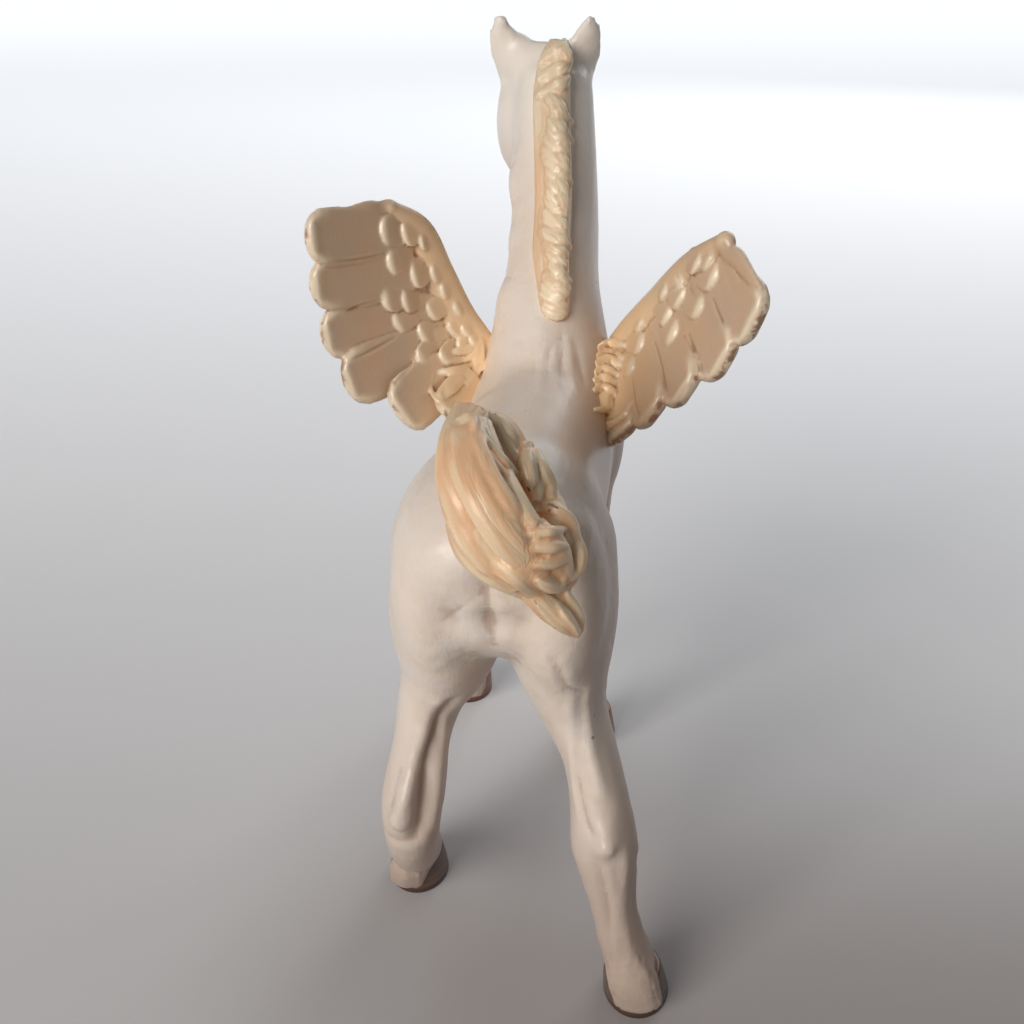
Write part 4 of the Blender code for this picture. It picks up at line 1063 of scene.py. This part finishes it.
class Mark:
    """One output of a node in a material, which Python's operators join with others."""

    def __init__(self, finish, socket):
        self.finish = finish
        self.socket = socket

    def join(self, operation, other):
        """A Math node on this value and another."""
        return self.finish.node("Math", {"operation": operation}, {0: self, 1: other})

    def __add__(self, other):
        return self.join("ADD", other)

    def __sub__(self, other):
        return self.join("SUBTRACT", other)

    def __rsub__(self, other):
        return self.finish.node("Math", {"operation": "SUBTRACT"}, {0: other, 1: self})

    def __mul__(self, other):
        return self.join("MULTIPLY", other)

    def above(self, low, high):
        """0 where this is below low and 1 where it is above high."""
        settings = {"interpolation_type": "SMOOTHSTEP"}
        return self.finish.node("MapRange", settings, {0: self, 1: low, 2: high, 3: 0.0, 4: 1.0})


class Finish:
    """A material under work, with the nodes that colour it."""

    def __init__(self, name):
        self.material = bpy.data.materials.new(name)
        self.material.use_nodes = True
        self.tree = self.material.node_tree
        self.shader = self.tree.nodes["Principled BSDF"]
        self.place = self.node("TexCoord", {}, {}, "Object")
        self.paint = None

    def node(self, kind, settings, inputs, output=0):
        """Adds a node, with its settings first and then the values or links of its sockets."""
        made = self.tree.nodes.new("ShaderNode" + kind)
        for name, value in settings.items():
            setattr(made, name, value)
        for socket, value in inputs.items():
            self.give(made.inputs[socket], value)
        return Mark(self, made.outputs[output])

    def give(self, socket, value):
        """Sets a socket to a value, or links it to a mark."""
        if isinstance(value, Mark):
            self.tree.links.new(value.socket, socket)
        else:
            socket.default_value = value

    def stored(self, name):
        """A number that the mesh holds for each point."""
        return self.node("Attribute", {"attribute_name": name}, {}, "Fac")

    def noise(self, scale, detail, stretch=(1.0, 1.0, 1.0)):
        """Noise with this many waves in a metre, stretched along the axes."""
        spot = self.node("Mapping", {}, {"Vector": self.place, "Scale": stretch})
        inputs = {"Vector": spot, "Scale": scale, "Detail": detail, "Roughness": NOISE_ROUGHNESS}
        return self.node("TexNoise", {}, inputs)

    def mix(self, share, first, second):
        """A colour that lies this share of the way from the first to the second."""
        return self.node("Mix", {"data_type": "RGBA"}, {0: share, 6: first, 7: second}, 2)

    def begin(self, share, first, second):
        """Lays the first coat of paint, a mix of two colours."""
        self.paint = self.mix(share, first, second)

    def cover(self, share, colour):
        """Lays this share of a colour over the paint so far."""
        self.paint = self.mix(share, self.paint, colour)

    def axis(self, name):
        """The place on one axis, in metres."""
        return self.node("SeparateXYZ", {}, {0: self.place}, name)

    def bump(self, height, depth, strength):
        """Feeds a height to the shader's normal, this deep in metres."""
        inputs = {"Height": height, "Distance": depth, "Strength": strength}
        self.give(self.shader.inputs["Normal"], self.node("Bump", {}, inputs))

    def wear(self, **sockets):
        """Gives the shader the paint and these sockets, whose underscores are read as spaces."""
        self.give(self.shader.inputs["Base Color"], self.paint)
        for name, value in sockets.items():
            self.give(self.shader.inputs[name.replace("_", " ").title()], value)
        return self.material


def paint_coat(colours):
    """Pearly warm white with fine hair and a few dark specks, painted in shade in the hollows, away from
    the window and low on the legs, and painted light on the ridges and the head.
    """
    finish = Finish("pearl_coat")
    fine, broad = finish.stored("recess"), finish.stored("hollow")
    cloud = finish.noise(260.0, 3.0)
    height = finish.axis("Z")
    finish.begin(cloud.above(0.35, 0.7), colours.coat, colours.coat_warm)
    # Painted shade: the coat greys in its broad and fine hollows
    finish.cover(broad.above(0.0, 1.0) * 0.75, colours.coat_painted_shade)
    finish.cover(fine.above(0.1, 1.0) * 0.5, colours.coat_painted_shade)
    # Painted highlight: the coat is paler on its ridges
    finish.cover((0.0 - fine).above(0.15, 1.0) * 0.35, colours.coat_painted_light)
    # Painted shade on the side away from the window and low on the legs
    finish.cover(finish.stored("lee") * 0.8, colours.coat_painted_shade)
    finish.cover((COAT_SHADED_BELOW_Z - height).above(0.0, 0.03) * 0.75, colours.coat_painted_shade)
    # Painted light: the head and the top of the neck are paler
    finish.cover((height - COAT_LIT_ABOVE_Z).above(0.0, 0.008) * 0.8, colours.coat_painted_light)
    speck = finish.noise(800.0, 1.0).above(0.80, 0.81)
    finish.cover(speck * 0.55, colours.chip)
    fur = finish.noise(2600.0, 3.0, (1.0, 0.22, 0.4))
    grain = finish.noise(1300.0, 5.0)
    finish.bump(fur * 0.6 + grain * 0.7, 0.00012, 0.55)
    return finish.wear(roughness=grain * 0.14 + 0.34, coat_weight=0.18, coat_roughness=0.3)


def paint_hair(name, colours, body, deep, light):
    """Hair that is deep in its grooves, painted pale along its ridges as a highlight and dark in its broad
    hollows as shadow, with brown chips.
    """
    finish = Finish(name)
    fine, broad, flat = finish.stored("recess"), finish.stored("hollow"), finish.stored("flat")
    lengths = {0: finish.stored("across"), 1: finish.stored("along") * 0.12, 2: finish.stored("own") * 0.7}
    combed = finish.node("CombineXYZ", {}, lengths)
    streak = finish.node("TexNoise", {}, {"Vector": combed, "Scale": 1.5, "Detail": 3.0})
    hairs = finish.node("TexNoise", {}, {"Vector": combed, "Scale": 5.0, "Detail": 3.0})
    finish.begin(streak.above(0.42, 0.62) * 0.75, body, deep)
    finish.cover(flat, deep)
    finish.cover(fine.above(0.0, 0.7) * 0.8, deep)
    # Painted shadow in the broad hollows between locks
    finish.cover(broad.above(0.3, 1.2) * 0.6, colours.hair_shadow)
    # Painted highlight along the ridges of the hair
    finish.cover((0.0 - fine).above(0.1, 0.9) * 0.6, light)
    finish.cover(finish.stored("dull"), colours.hair_dull)
    chips = finish.noise(700.0, 2.0).above(0.70, 0.72) * (0.0 - fine).above(0.1, 0.6)
    finish.cover(chips * 0.8, colours.chip)
    finish.bump(hairs, 0.00012, 0.6)
    return finish.wear(
        roughness=streak * 0.2 + 0.3, metallic=0.03, coat_weight=0.22, coat_roughness=0.25
    )


def paint_wing(colours, name, pitch):
    """Tan feathers, peach near the body, with dark lines between them, pale raised rims and chips down to
    dark brown. Painted shade lies in the broad hollows and low on the right wing, and painted highlights
    on the ridges and the tips of the coverts.
    """
    finish = Finish(name)
    fine, broad = finish.stored("recess"), finish.stored("hollow")
    rim, near, barbs = finish.stored("rim"), finish.stored("near_body"), finish.stored("barbs")
    wave = finish.node("Math", {"operation": "SINE"}, {0: finish.stored("slant") * (math.tau / pitch)})
    comb = (wave * 0.5 + 0.5) * barbs
    cloud = finish.noise(240.0, 3.0)
    finish.begin(cloud.above(0.35, 0.7), colours.wing, colours.wing_warm)
    finish.cover(finish.stored("inner") * 0.35, colours.wing_root)
    finish.cover(near, colours.wing_root)
    finish.cover(fine.above(0.05, 0.8) * 0.7, colours.wing_lines_and_shade)
    # Painted shade in the broad hollows
    finish.cover(broad.above(0.2, 1.2) * 0.4, colours.wing_lines_and_shade)
    # Painted highlight on the ridges of the feathers
    finish.cover((0.0 - fine).above(0.1, 0.9) * (0.5 - near * 0.3), colours.wing_rims_and_highlights)
    # Pale paint on the raised rims, and painted highlights on the tips of the coverts
    finish.cover(rim * 0.75, colours.wing_rims_and_highlights)
    finish.cover(comb * 0.06, colours.wing_rims_and_highlights)
    # Painted shade low on the right wing
    finish.cover(finish.stored("shaded"), colours.wing_lines_and_shade)
    worn = finish.noise(620.0, 3.0).above(0.5, 0.6) * finish.stored("outer_edge")
    finish.cover(worn * 0.8, colours.worn)
    finish.bump(comb * 0.3 + finish.noise(1500.0, 4.0) * 0.8, 0.00006, 0.5)
    return finish.wear(
        roughness=cloud * 0.14 + 0.3, metallic=0.04, coat_weight=0.22, coat_roughness=0.22
    )


def paint_hooves(colours):
    """Copper brown, rubbed paler on the growth rings and darker at the ground. The hind hooves are painted
    darker grey brown as shade.
    """
    finish = Finish("hoof_copper")
    rings = finish.noise(420.0, 3.0, (0.25, 0.25, 2.4))
    low = finish.axis("Z")
    ahead = finish.axis("Y")
    # The hind hooves are painted darker as shade
    body = finish.mix(ahead.above(-0.004, 0.004), colours.hind_hoof_painted_shade, colours.hoof)
    finish.begin(rings.above(0.35, 0.7) * 0.6, body, colours.hoof_light)
    finish.cover((0.0011 - low).above(0.0, 0.0009) * 0.8, colours.chip)
    finish.bump(rings, 0.00015, 0.6)
    return finish.wear(roughness=rings * 0.2 + 0.3, metallic=0.2, coat_weight=0.2)


def paint_eyes(colours):
    """Glossy dark brown, with a little warm light in the iris."""
    finish = Finish("eye_gloss")
    cloud = finish.noise(900.0, 2.0)
    finish.begin(cloud.above(0.4, 0.7), colours.eye, colours.eye_light)
    return finish.wear(roughness=cloud * 0.05 + 0.05, coat_weight=1.0)


def paint_floor(colours):
    """Pale matt card that glows with painted light for a far window: nearly white far away, and greyer
    close by, with painted shade on the near right.
    """
    finish = Finish("floor_card")
    away = finish.axis("Y")
    aside = finish.axis("X")
    grain = finish.noise(900.0, 3.0)
    nearby = (away + GLOW_LINE).join("MAXIMUM", GLOW_NEAREST)
    window = nearby.join("LOGARITHM", math.e) * GLOW_SLOPE + GLOW_LEVEL
    # Painted shade on the card on the near right
    shade = aside.above(-0.035, 0.005) * (0.0 - away).above(-0.03, 0.03)
    finish.begin(shade, colours.floor, colours.floor_shade)
    finish.cover(grain * 0.04, colours.floor_shade)
    # Painted light: the card glows where the far window would light it
    glow = finish.mix(window.above(0.0, 1.0), (0.0, 0.0, 0.0, 1.0), colours.window)
    return finish.wear(roughness=grain * 0.1 + 0.8, emission_color=glow, emission_strength=1.0)


def srgb(red, green, blue):
    """A colour as it looks on screen, from 0 to 255, as the linear light that Blender takes."""
    found = []
    for level in (red / 255, green / 255, blue / 255):
        found.append(level / 12.92 if level <= 0.04045 else ((level + 0.055) / 1.055) ** 2.4)
    return tuple(found)


def colour(name, description, level):
    """An opaque colour property with its default as it looks on screen."""
    start = (*srgb(*level), 1.0)
    return bpy.props.FloatVectorProperty(
        name=name, description=description, subtype="COLOR", size=4, min=0, max=1, default=start
    )


def length(name, description, default):
    """A small length property, with its default in millimetres."""
    return bpy.props.FloatProperty(
        name=name, description=description, subtype="DISTANCE", unit="LENGTH", default=default * MM,
        min=0.0, precision=5
    )


class FoalSizes(bpy.types.PropertyGroup):
    """Sizes of the relief, which a user would change."""

    coat_grain: length("Coat grain", "Voxel that the body is melted at", 0.63)
    wing_grain: length("Wing grain", "Voxel that the wings are melted at", 0.13)
    hair_grain: length("Hair grain", "Voxel that the mane and the tail are melted at", 0.12)
    feather_rim: length("Feather rim", "How far the rims of the feathers stand up", 0.16)
    barb_pitch: length("Barb pitch", "How far apart the barbs are", 0.42)
    leather_depth: length("Leather depth", "How deep the creases on the rump are", 0.014)


class FoalColours(bpy.types.PropertyGroup):
    """Colours of the paint, which a user would change."""

    coat: colour("Coat", "Pearly white of the body", (231, 218, 206))
    coat_warm: colour("Warm coat", "Warmer patches of the body", (230, 213, 195))
    # Paler coat painted as highlight on the ridges and as light on the head and the top of the neck
    coat_painted_light: colour("Coat ridges", "Rubbed ridges of the body", (242, 232, 220))
    # Painted shade of the coat, in its hollows, away from the window and low on the legs
    coat_painted_shade: colour("Coat hollows", "Hollows of the body", (176, 150, 132))
    mane: colour("Mane", "Locks of the mane", (246, 224, 190))
    mane_deep: colour("Mane grooves", "Grooves and left band of the mane", (226, 184, 144))
    hair: colour("Hair", "Locks of the tail", (234, 209, 172))
    hair_deep: colour("Hair grooves", "Grooves of the tail", (226, 174, 130))
    # Painted highlight along the ridges of the mane and the tail
    hair_painted_highlight: colour("Hair ridges", "Worn ridges of the hair", (250, 236, 210))
    hair_dull: colour("Dull hair", "Grey green of the tail's hollow and raised lock", (172, 158, 130))
    hair_shadow: colour("Hair shadow", "Deepest places between locks", (150, 108, 78))
    wing: colour("Wing", "Feathers", (199, 172, 146))
    wing_warm: colour("Warm wing", "Warmer patches of the feathers", (205, 170, 138))
    wing_root: colour("Wing root", "Feathers close to the body", (250, 214, 168))
    # Dark lines between the feathers, and painted shade in broad hollows and low on the right wing
    wing_lines_and_shade: colour("Wing lines", "Lines between the feathers", (150, 110, 78))
    # Pale paint on the raised rims, and painted highlights on the ridges and the tips of the coverts
    wing_rims_and_highlights: colour("Wing rims", "Raised rims of the feathers", (248, 232, 204))
    worn: colour("Worn edges", "Reddish brown along the feathers' outer edges", (138, 88, 58))
    chip: colour("Chips", "Dark brown where the paint has gone", (70, 38, 26))
    hoof: colour("Hoof", "Copper brown of the fore hooves", (150, 96, 62))
    # Hoof copper darkened as painted shade on the hind hooves
    hind_hoof_painted_shade: colour("Hind hoof", "Grey brown of the hind hooves", (96, 80, 72))
    hoof_light: colour("Hoof rings", "Paler growth rings", (140, 96, 70))
    eye: colour("Eye", "Dark of the eye", (16, 10, 8))
    eye_light: colour("Iris", "Brown of the iris", (52, 28, 16))
    floor: colour("Floor", "Card that the foal stands on", (210, 208, 208))
    floor_shade: colour("Floor shade", "Card in the shade on the right", (166, 160, 158))
    # Painted light: the glow of the card where the far window would light it
    window: colour("Window", "Light of the far window on the card", (246, 250, 255))


class FoalLights(bpy.types.PropertyGroup):
    """Strengths of the studio's lights."""

    key: bpy.props.FloatProperty(name="Key", description="Soft light from the left", default=4.3, min=0)
    side: bpy.props.FloatProperty(name="Side", description="Far window on the right", default=1.9, min=0)
    top: bpy.props.FloatProperty(name="Top", description="Window above and behind", default=0.3, min=0)
    sky: bpy.props.FloatProperty(name="Sky", description="Light from all round", default=0.12, min=0)


class FOAL_OT_body(bpy.types.Operator):
    """Sculpt the trunk, neck, head and legs, and paint them pearly white"""

    bl_idname = "foal.body"
    bl_label = "Body"

    def execute(self, context):
        sizes = context.scene.foal_sizes
        skins = Skins()
        shape_trunk(skins)
        shape_neck_and_head(skins)
        shape_hind_leg(skins, HIND_RIGHT_LEG, SOLES[0], 0.45, 0.95)
        shape_hind_leg(skins, HIND_LEFT_LEG, SOLES[1], -0.8, 0.8)
        shape_fore_leg(skins, SOLES[2])
        shape_fore_leg(skins, SOLES[3])
        clay = Clay("body", skins, sizes.coat_grain / MM, 6, double=True)
        clay.draw(SKIN_LINES, BODY_DEPTH)
        self.carve_head(clay)
        places = clay.points
        tone = clay.marks[:, 4]
        tuft = clay.average(ease(0.8, 1.0, tone), 2)
        hairs = np.sin(math.tau * clay.marks[:, 1] / 0.55 + 2 * clay.marks[:, 5])
        rump = ease(-12.0, -22.0, places[:, 1]) * ease(30.0, 38.0, places[:, 2])
        leather = rough_noise(places, 1.3, 2) * rough_noise(places, 2.4, 3)
        clay.raise_by(rump * leather * sizes.leather_depth / MM + 0.06 * tuft * hairs)
        clay.keep_hollows(0.06, 30, 0.35)
        # How far the skin faces away from the window, where the coat is painted in shade
        lee = ease(0.1, 0.8, clay.normals() @ AWAY_FROM_WINDOW)
        lee *= ease(NECK_ROOT_Z + 4.0, NECK_ROOT_Z - 4.0, places[:, 2])
        clay.keep("lee", clay.average(lee, 6))
        body = clay.finish(paint_coat(context.scene.foal_colours), "pearl_white")
        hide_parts(NODE)
        return {"FINISHED"}

    def carve_head(self, clay):
        """Eye sockets, lids, nostrils, mouth, cheeks and the hollows of the ears."""
        for hand in EAR_REACHES:
            for aside, width, height, one_side, spots in HEAD_STROKES:
                line = [head_point(s * HEAD_LENGTH, f * JOWL_DEPTH, hand * aside) for s, f in spots]
                clay.stroke(line, width, height, hand * RIGHT if one_side else None)
            root, tip = ear_ends(hand)
            open_side = unit((0.5 * hand, 0.86, 0.1))
            inward = 0.9 * open_side + hand * RIGHT * 0.4
            cup = [between(root, tip, share) + inward for share in (0.25, 0.5, 0.72, 0.9)]
            clay.stroke(cup, 0.95, -0.9, open_side)


def finish_wing(context, name, feathers, coverts, locks, gaps):
    """Melts one wing, cuts the lines between its feathers and marks its rims, tips and root."""
    sizes = context.scene.foal_sizes
    clay = Clay(name, shape_wing(feathers, coverts, locks, sizes), sizes.wing_grain / MM, 2)
    along, across, share, rim, tone = clay.marks[:, :5].T
    clay.draw([(GAP_WIDTH, -GAP_DEPTH, line) for line in gaps], WING_DEPTH)
    flight = ease(0.7, 1.0, clay.average(tone, 2))
    covert = np.clip(1 - np.abs(tone - COVERT_TONE) / 0.2, 0, 1)
    clay.keep_hollows(0.045, 24, 0.2)
    # The rims of the flight feathers, and the painted highlights at the tips of the coverts
    clay.keep("rim", clay.average(np.minimum(rim, 1) * flight + covert * ease(0.74, 0.92, share), 2))
    clay.keep("slant", clay.average(along + 0.8 * np.abs(across), 4))
    plain = 0.3 + 0.7 * (clay.points[:, 0] > 0)
    clay.keep("barbs", clay.average(flight * ease(0.45, 0.8, share), 4) * plain)
    clay.keep("near_body", 1 - ease(5.0, 14.0, np.abs(clay.points[:, 0])))
    clay.keep("outer_edge", clay.average(flight * ease(1.85, 2.0, rim), 1))
    # Where the right wing is painted in shade, low down and away from the body
    below = ease(3.0, -6.0, clay.points[:, 2] - WITHERS_Z)
    clay.keep("shaded", 0.7 * below * ease(6.0, 10.0, clay.points[:, 0]))
    clay.keep("inner", clay.average(ease(0.75, 0.25, tone), 4))
    material = paint_wing(context.scene.foal_colours, name + "_tan", sizes.barb_pitch / MM)
    clay.finish(material, "wing_tan")


class FOAL_OT_wings(bpy.types.Operator):
    """Sculpt the two wings, feather by feather, and paint them tan"""

    bl_idname = "foal.wings"
    bl_label = "Wings"

    def execute(self, context):
        finish_wing(context, "left_wing", LEFT_WING, LEFT_COVERTS, LEFT_ROOT_LOCKS, LEFT_GAPS)
        finish_wing(context, "right_wing", RIGHT_WING, RIGHT_COVERTS, RIGHT_ROOT_LOCKS, RIGHT_GAPS)
        return {"FINISHED"}


def keep_combed(clay, dull):
    """Stores where each point is along and across its lock, and how dull its paint is."""
    for name, column in (("along", 0), ("across", 1), ("own", 5)):
        clay.keep(name, clay.average(clay.marks[:, column], 14))
    clay.keep("dull", dull)


class FOAL_OT_mane(bpy.types.Operator):
    """Sculpt the mane and the forelock, and paint them peach and gold"""

    bl_idname = "foal.mane"
    bl_label = "Mane"

    def execute(self, context):
        sizes, colours = context.scene.foal_sizes, context.scene.foal_colours
        clay = Clay("mane", shape_mane(), sizes.hair_grain / MM, 2)
        clay.keep_hollows(0.05, 24, 0.3)
        low = 1 - ease(69.0, 73.0, clay.points[:, 2])
        clay.keep("flat", 0.9 * low * (1 - ease(-1.0, 0.3, clay.points[:, 0])))
        keep_combed(clay, 0.25 * (1 - low))
        material = paint_hair("mane_gold", colours, colours.mane, colours.mane_deep, colours.hair_painted_highlight)
        clay.finish(material, "hair_gold")
        return {"FINISHED"}


class FOAL_OT_tail(bpy.types.Operator):
    """Sculpt the lifted tail lock by lock, and paint it cream and peach"""

    bl_idname = "foal.tail"
    bl_label = "Tail"

    def execute(self, context):
        sizes, colours = context.scene.foal_sizes, context.scene.foal_colours
        bulk = Skins()
        shape_plume(bulk, 0.0)
        surface = bulk.surface()
        towards = -camera_axes()[0]
        skins = Skins()
        shape_plume(skins, 0.05)
        lay_locks(skins, surface, PLUME_LINES, TAIL_DEPTH, towards)
        clay = Clay("tail", skins, sizes.hair_grain / MM, 2)
        clay.keep_hollows(0.05, 30, 0.3)
        tone = clay.average(clay.marks[:, 4], 2)
        clay.keep("flat", 0.25 * ease(0.45, 0.8, tone) * (1 - ease(0.9, 1.2, tone)))
        keep_combed(clay, 0.6 * (1 - ease(0.2, 0.36, tone)) + 0.5 * ease(1.2, 1.7, tone))
        material = paint_hair("tail_gold", colours, colours.hair, colours.hair_deep, colours.hair_painted_highlight)
        clay.finish(material, "hair_gold")
        return {"FINISHED"}


class FOAL_OT_hooves(bpy.types.Operator):
    """Turn four flat-soled hooves with growth rings, and paint them copper brown"""

    bl_idname = "foal.hooves"
    bl_label = "Hooves"

    def execute(self, context):
        made = []
        hind_leans = (SOLES[0][0] - HIND_RIGHT_LEG[-1][0], SOLES[1][0] - HIND_LEFT_LEG[-1][0])
        leans = (*hind_leans, *FORE_HOOF_LEANS)
        for sole, lean in zip(SOLES, leans):
            made.append(turn_hoof(np.array((*sole, 0.0)) + SCULPTOR_ZERO, lean))
        only(made[0])
        for hoof in made[1:]:
            hoof.select_set(True)
        bpy.ops.object.join()
        hooves = bpy.context.object
        hooves.name = "hooves"
        hooves.data.shade_smooth()
        hand_over(hooves, paint_hooves(context.scene.foal_colours))
        return {"FINISHED"}


def pick(made, kind, wanted):
    """Selects the wanted edges or faces of a mesh that is open in Edit mode, and no others."""
    bpy.ops.mesh.select_all(action="DESELECT")
    shape = bmesh.from_edit_mesh(made.data)
    for part in getattr(shape, kind):
        part.select_set(wanted(part))
    bmesh.update_edit_mesh(made.data)


def turn_hoof(sole, lean):
    """A cylinder drawn in at the coronet, ringed, bevelled at the ground and leaned to its leg."""
    only(None)
    height = CORONET_Z + 0.5
    bpy.ops.mesh.primitive_cylinder_add(vertices=48, radius=0.5, depth=1.0)
    hoof = bpy.context.object
    bpy.ops.object.mode_set(mode="EDIT")
    bpy.ops.mesh.select_mode(type="EDGE")
    pick(hoof, "edges", lambda edge: abs(edge.verts[0].co.z - edge.verts[1].co.z) > 0.5)
    bpy.ops.mesh.subdivide(number_cuts=15)
    pick(hoof, "faces", lambda face: face.normal.z < -0.9)
    bpy.ops.mesh.bevel(offset=0.03, segments=3)
    pick(hoof, "faces", lambda face: abs(face.normal.z) > 0.99)
    bpy.ops.mesh.inset(thickness=0.06)
    bpy.ops.object.mode_set(mode="OBJECT")
    for vert in hoof.data.vertices:
        share = vert.co.z + 0.5
        ring = 1 + 0.008 * math.sin(share * 30) - 0.012 * (share > 0.9)
        wide = ring * float(np.interp(share, HOOF_SHARES, HOOF_WIDTHS)) * HOOF_WIDTH
        long = ring * float(np.interp(share, HOOF_SHARES, HOOF_LENGTHS)) * HOOF_LENGTH
        vert.co.x = (vert.co.x * wide + sole[0] - lean * share) * MM
        vert.co.y = (vert.co.y * long + sole[1] - HOOF_SLOPE * share) * MM
        vert.co.z = share * height * MM
    return hoof


class FOAL_OT_eyes(bpy.types.Operator):
    """Set two glossy dark eyes under the lids"""

    bl_idname = "foal.eyes"
    bl_label = "Eyes"

    def execute(self, context):
        material = paint_eyes(context.scene.foal_colours)
        for hand, name in ((-1, "left_eye"), (1, "right_eye")):
            only(None)
            aside = hand * 0.42 * HEAD_WIDTH
            place = head_point(0.335 * HEAD_LENGTH, 0.14 * JOWL_DEPTH, aside) + SCULPTOR_ZERO
            bpy.ops.mesh.primitive_uv_sphere_add(segments=40, ring_count=24, radius=EYE_RADIUS * MM)
            eye = bpy.context.object
            eye.name = name
            eye.data.transform(Matrix.Translation(place * MM) @ Matrix.Diagonal(EYE_SQUASH))
            eye.data.shade_smooth()
            hand_over(eye, material)
        return {"FINISHED"}


class FOAL_OT_stage(bpy.types.Operator):
    """Lay the floor, hang the lights and place the camera"""

    bl_idname = "foal.stage"
    bl_label = "Stage"

    def execute(self, context):
        lights = context.scene.foal_lights
        bpy.ops.mesh.primitive_plane_add(size=FLOOR_SIZE, location=(0.0, 4.0, 0.0))
        floor = bpy.context.object
        floor.name = "floor"
        bpy.ops.object.transform_apply(location=True)
        floor.data.materials.append(paint_floor(context.scene.foal_colours))
        for name, (place, size, tint) in LIGHTS.items():
            add_light(name, place, size, getattr(lights, name), tint)
        world = bpy.data.worlds.new("room")
        world.use_nodes = True
        world.node_tree.nodes["Background"].inputs[0].default_value = SKY_TINT
        world.node_tree.nodes["Background"].inputs[1].default_value = lights.sky
        context.scene.world = world
        context.scene.view_settings.view_transform = "Standard"
        camera = bpy.data.cameras.new("photograph")
        camera.sensor_width = SENSOR_WIDTH
        camera.lens = FOCAL_PIXELS * SENSOR_WIDTH / PICTURE_WIDTH
        camera.clip_start = 0.002
        camera.clip_end = 30.0
        seat = bpy.data.objects.new("photograph", camera)
        look, right, up = camera_axes()
        seat.matrix_world = Matrix(np.column_stack((right, up, -look)).tolist()).to_4x4()
        seat.location = np.array(CAMERA_PLACE) * MM
        context.scene.collection.objects.link(seat)
        context.scene.camera = seat
        return {"FINISHED"}


def add_light(name, place, size, power, tint):
    """A square soft light at a place, turned to the middle of the foal."""
    lamp = bpy.data.lights.new(name, "AREA")
    lamp.shape = "SQUARE"
    lamp.size = size
    lamp.energy = power
    lamp.color = tint
    holder = bpy.data.objects.new(name, lamp)
    holder.location = place
    aim = np.array((0.0, 0.0, LIGHTS_AIM_Z)) - np.array(place)
    pitch = math.atan2(math.hypot(aim[0], aim[1]), -aim[2])
    holder.rotation_euler = (pitch, 0.0, math.atan2(aim[1], aim[0]) - math.pi / 2)
    bpy.context.scene.collection.objects.link(holder)


PIECES = (
    FOAL_OT_body, FOAL_OT_wings, FOAL_OT_mane, FOAL_OT_tail, FOAL_OT_hooves, FOAL_OT_eyes, FOAL_OT_stage,
)


class FOAL_PT_pieces(bpy.types.Panel):
    """The foal's pieces, each with a button that sculpts it"""

    bl_idname = "FOAL_PT_pieces"
    bl_label = "Winged foal"
    bl_space_type = "VIEW_3D"
    bl_region_type = "UI"
    bl_category = "Foal"

    def draw(self, context):
        for piece in PIECES:
            self.layout.operator(piece.bl_idname)
        for group in (context.scene.foal_sizes, context.scene.foal_colours, context.scene.foal_lights):
            for name in group.__annotations__:
                self.layout.prop(group, name)


GROUPS = {"foal_sizes": FoalSizes, "foal_colours": FoalColours, "foal_lights": FoalLights}


def register():
    for kind in (*GROUPS.values(), *PIECES, FOAL_PT_pieces):
        bpy.utils.register_class(kind)
    for name, group in GROUPS.items():
        setattr(bpy.types.Scene, name, bpy.props.PointerProperty(type=group))


def unregister():
    for name in GROUPS:
        delattr(bpy.types.Scene, name)
    for kind in (FOAL_PT_pieces, *reversed(PIECES), *GROUPS.values()):
        bpy.utils.unregister_class(kind)


def main():
    register()
    bpy.ops.foal.body()
    bpy.ops.foal.wings()
    bpy.ops.foal.mane()
    bpy.ops.foal.tail()
    bpy.ops.foal.hooves()
    bpy.ops.foal.eyes()
    bpy.ops.foal.stage()


if __name__ == "__main__":
    main()
